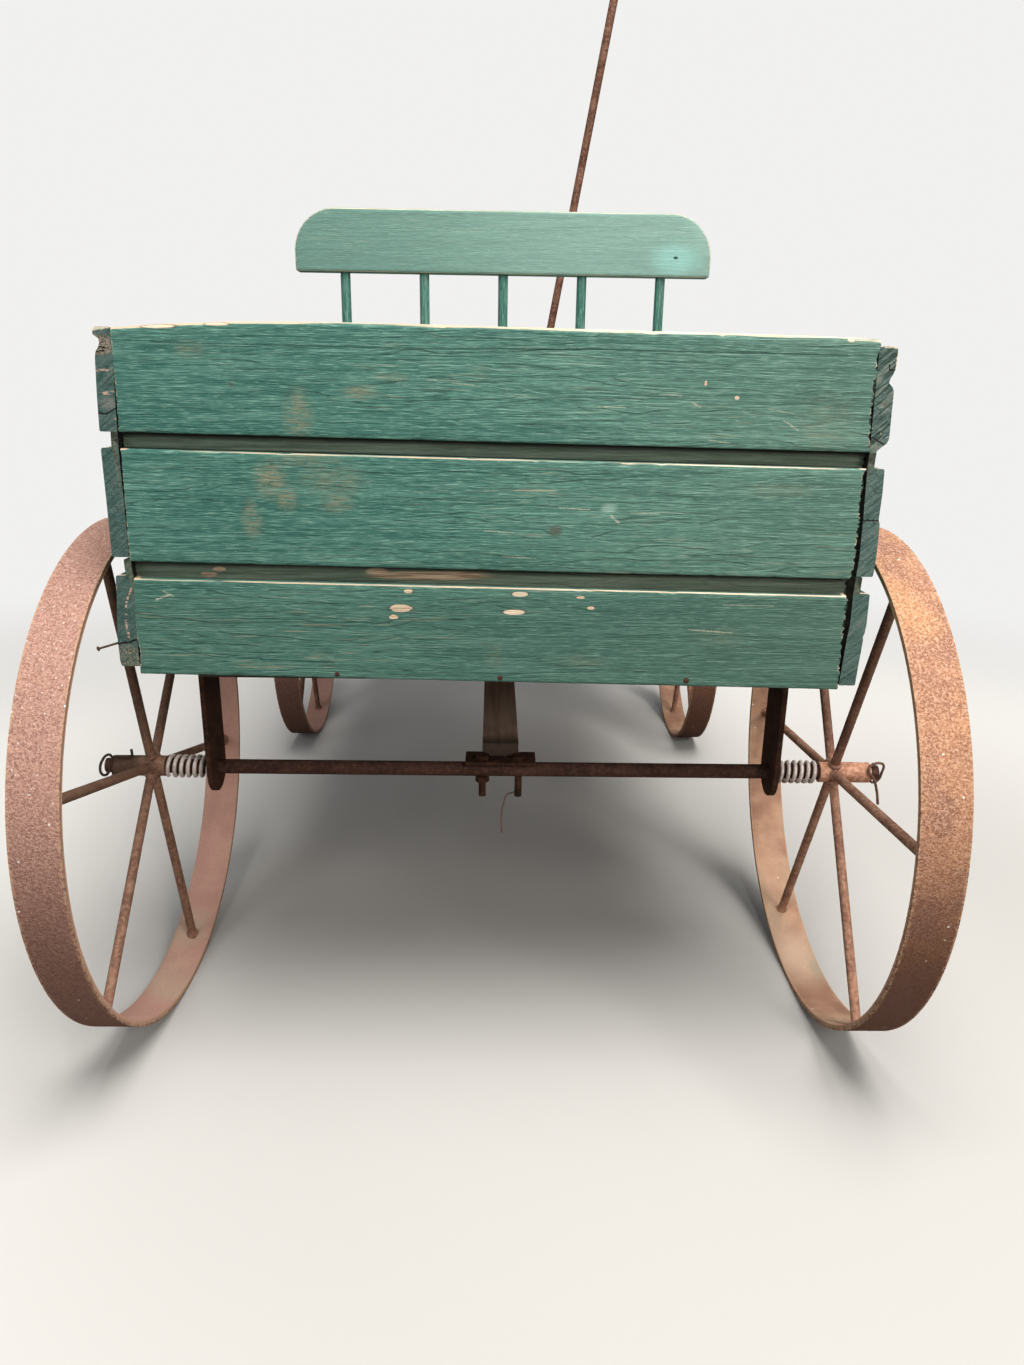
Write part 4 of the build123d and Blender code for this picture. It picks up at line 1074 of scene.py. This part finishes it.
def seat_board(name, node, thin, rounds, round_by):
    """A seat board with rounded, rubbed arrises. Its corners start at its low left and go round."""
    low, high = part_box(node)
    other = Y_AXIS + Z_AXIS - thin
    corners = [(low.x, low[other]), (low.x, high[other]), (high.x, high[other]), (high.x, low[other])]
    walked = corner_walk(corners, rounds, 4 * MM)
    centre = sum(walked, Vector((0, 0))) / len(walked)
    depth = high[thin] - low[thin]
    layers = [(0.0, round_by)]
    for k in range(1, 5):
        turn = k / 4 * pi / 2
        layers.append((round_by * (1 - cos(turn)), round_by * (1 - sin(turn))))
    layers += [(depth - inset, shrink) for inset, shrink in reversed(layers)]
    verts, worn = [], []
    count = len(walked)

    def inward(i, amount):
        before, here, after = walked[i - 1], walked[i], walked[(i + 1) % count]
        along = (after - before).normalized()
        side = Vector((-along.y, along.x))
        if side.dot(centre - here) < 0:
            side = -side
        return here + side * amount

    def placed(p, at):
        return (p.x, at, p.y) if thin == Y_AXIS else (p.x, p.y, at)

    for inset, shrink in layers:
        for i in range(count):
            verts.append(placed(inward(i, shrink), low[thin] + inset))
            worn.append(0.85 * near(shrink - round_by * 0.35, round_by * 0.5))
    faces = ring_faces(len(layers), count)
    for base in (0, (len(layers) - 1) * count):
        previous = base
        for share in (0.94, 0.85, 0.7, 0.5, 0.3):
            start = len(verts)
            for i in range(count):
                edge = Vector(verts[base + i])
                core = Vector(placed(centre, edge[thin]))
                verts.append(tuple(core.lerp(edge, share)))
                worn.append(0.0)
                faces.append((previous + i, start + i, start + (i + 1) % count, previous + (i + 1) % count))
            previous = start
        faces.append(tuple(range(previous, previous + count)))
    mesh = new_mesh(name, verts, faces)
    keep_values(mesh, "worn", "POINT", worn)
    shell = bmesh.new()
    shell.from_mesh(mesh)
    bmesh.ops.recalc_face_normals(shell, faces=shell.faces)
    shell.to_mesh(mesh)
    shell.free()
    mesh.shade_smooth()
    mesh.set_sharp_from_angle(angle=radians(50))
    mesh.materials.append(seat_paint)
    keep_mesh(name, mesh, "box", "painted_wood", node)


seat_board("seat_back_board", "seat_back", Y_AXIS, [3 * MM, SEAT_CORNER, SEAT_CORNER, 3 * MM], 2.6 * MM)
seat_board("seat_board", "seat_plank", Z_AXIS, [4 * MM] * 4, 2.4 * MM)

# Finishes of the plain nodes, by how a name starts or ends: the first that fits
FINISHES = {
    "_spokes": spoke_iron, "_hub": hub_iron, "axle_rear": axle_iron, "axle_front": axle_iron,
    "tongue_": rod_iron, "floor_boards": floor_wood, "_bolster": bolster_wood, "reach": reach_wood,
    "battens": paint["Z"], "seat_spindles": paint["Z"], "springs_": zinc, "side_": paint["Y"],
    "tail_": paint["X"], "front_": paint["X"], "seat_": paint["X"],
}
for name, node in wagon.items():
    fits = [f for part, f in FINISHES.items() if name.startswith(part) or name.endswith(part)]
    finish = fits[0] if fits else strap_iron
    if name.endswith("_rim"):
        finish = rim_rear if "rear" in name else rim_front
        low, high = (c.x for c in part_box(name))
        across = [(v.co.x - (low + high) / 2) / ((high - low) / 2) for v in node.data.vertices]
        keep_values(node.data, "rim_across", "POINT", across)
    node.data.materials.clear()
    node.data.materials.append(finish)

# Floor, light and camera
BACKDROP = (0.88, 0.875, 0.865)
FLOOR_NEAR = (0.50, 0.495, 0.485)
FLOOR_FAR = (0.78, 0.775, 0.765)
FLOOR_MOTTLE = (0.60, 0.595, 0.585)
# The floor's tone for light that falls on the wagon from it
FLOOR_BOUNCE = (0.20, 0.18, 0.16)
floor = Finish("studio_floor")
seen = floor.step("ShaderNodeLightPath", {}).outputs["Is Camera Ray"]
from_lit_place = floor.vector("DISTANCE", floor.place, (0.25, -0.45, 0))
pale = floor.over(floor.band(from_lit_place, 0.35, 1.15), FLOOR_NEAR, FLOOR_FAR)
pale = floor.over(floor.times(floor.noise(floor.place, 3.0, 2), 0.08), pale, FLOOR_MOTTLE)
floor.seal(floor.over(seen, FLOOR_BOUNCE, pale), floor.band(floor.noise(floor.place, 40, 2), 0, 1, 0.8, 0.95),
           floor.relief(floor.noise(floor.place, 60, 2), 0.1 * MM), specular=0.1)
far = floor.times(floor.band(floor.vector("LENGTH", floor.place), 0.66, 1.7), seen)
glow = floor.step("ShaderNodeEmission", {}, ("Color", BACKDROP), ("Strength", 1.0)).outputs[0]
blend = floor.step("ShaderNodeMixShader", {}, (0, far), (1, floor.shader.outputs[0]), (2, glow)).outputs[0]
floor.tree.links.new(blend, floor.tree.nodes["Material Output"].inputs["Surface"])
FLOOR_HALF = 20
corners = [(x * FLOOR_HALF, y * FLOOR_HALF, 0) for x, y in ((-1, -1), (1, -1), (1, 1), (-1, 1))]
mesh = new_mesh("floor", corners, [(0, 1, 2, 3)])
mesh.materials.append(floor.material)
ground = add_object("floor", mesh)

world = bpy.data.worlds.new("studio")
world.use_nodes = True
bpy.context.scene.world = world
sky = world.node_tree.nodes["Background"]
path = world.node_tree.nodes.new("ShaderNodeLightPath")
level = world.node_tree.nodes.new("ShaderNodeMapRange")
world.node_tree.links.new(path.outputs["Is Camera Ray"], level.inputs["Value"])
level.inputs["To Min"].default_value = 0.23
level.inputs["To Max"].default_value = 1.0
sky.inputs["Color"].default_value = (*BACKDROP, 1)
world.node_tree.links.new(level.outputs[0], sky.inputs["Strength"])


def lamp(name, place, target, wide, watts, colour):
    """A square soft lamp that faces a place."""
    light = bpy.data.lights.new(name, "AREA")
    light.shape = "SQUARE"
    light.size = wide
    light.energy = watts
    light.color = colour
    holder = add_object(name, light)
    holder.location = place
    holder.rotation_euler = (Vector(target) - Vector(place)).to_track_quat("-Z", "Y").to_euler()


lamp("ceiling_lamp", (0.35, -0.95, 2.6), (0, -0.1, 0.3), 1.6, 102, (1.0, 0.97, 0.92))
lamp("side_lamp", (1.5, -2.4, 1.5), (0, -0.2, 0.35), 1.1, 35, (1.0, 0.94, 0.86))
lamp("fill_lamp", (-2.0, -2.2, 1.4), (0, -0.2, 0.35), 1.5, 16, (0.96, 0.98, 1.0))

# The camera's place, tilt and lens, solved from the wheels in the photo
lens = bpy.data.cameras.new("photo_camera")
lens.sensor_width = 36
lens.lens = 24.95
lens.dof.use_dof = False
camera = add_object("photo_camera", lens)
PITCH = radians(17.65)
YAW = radians(0.88)
ROLL = radians(0.9)
CAMERA_PLACE = (2.4 * MM, REAR_Y - 728.4 * MM, 510.5 * MM)
turned = Matrix.Rotation(-YAW, 4, "Z") @ Matrix.Rotation(pi / 2 - PITCH, 4, "X")
turned = turned @ Matrix.Rotation(ROLL, 4, "Z")
camera.matrix_world = Matrix.Translation(CAMERA_PLACE) @ turned
bpy.context.scene.camera = camera
bpy.context.scene.view_settings.view_transform = "Standard"
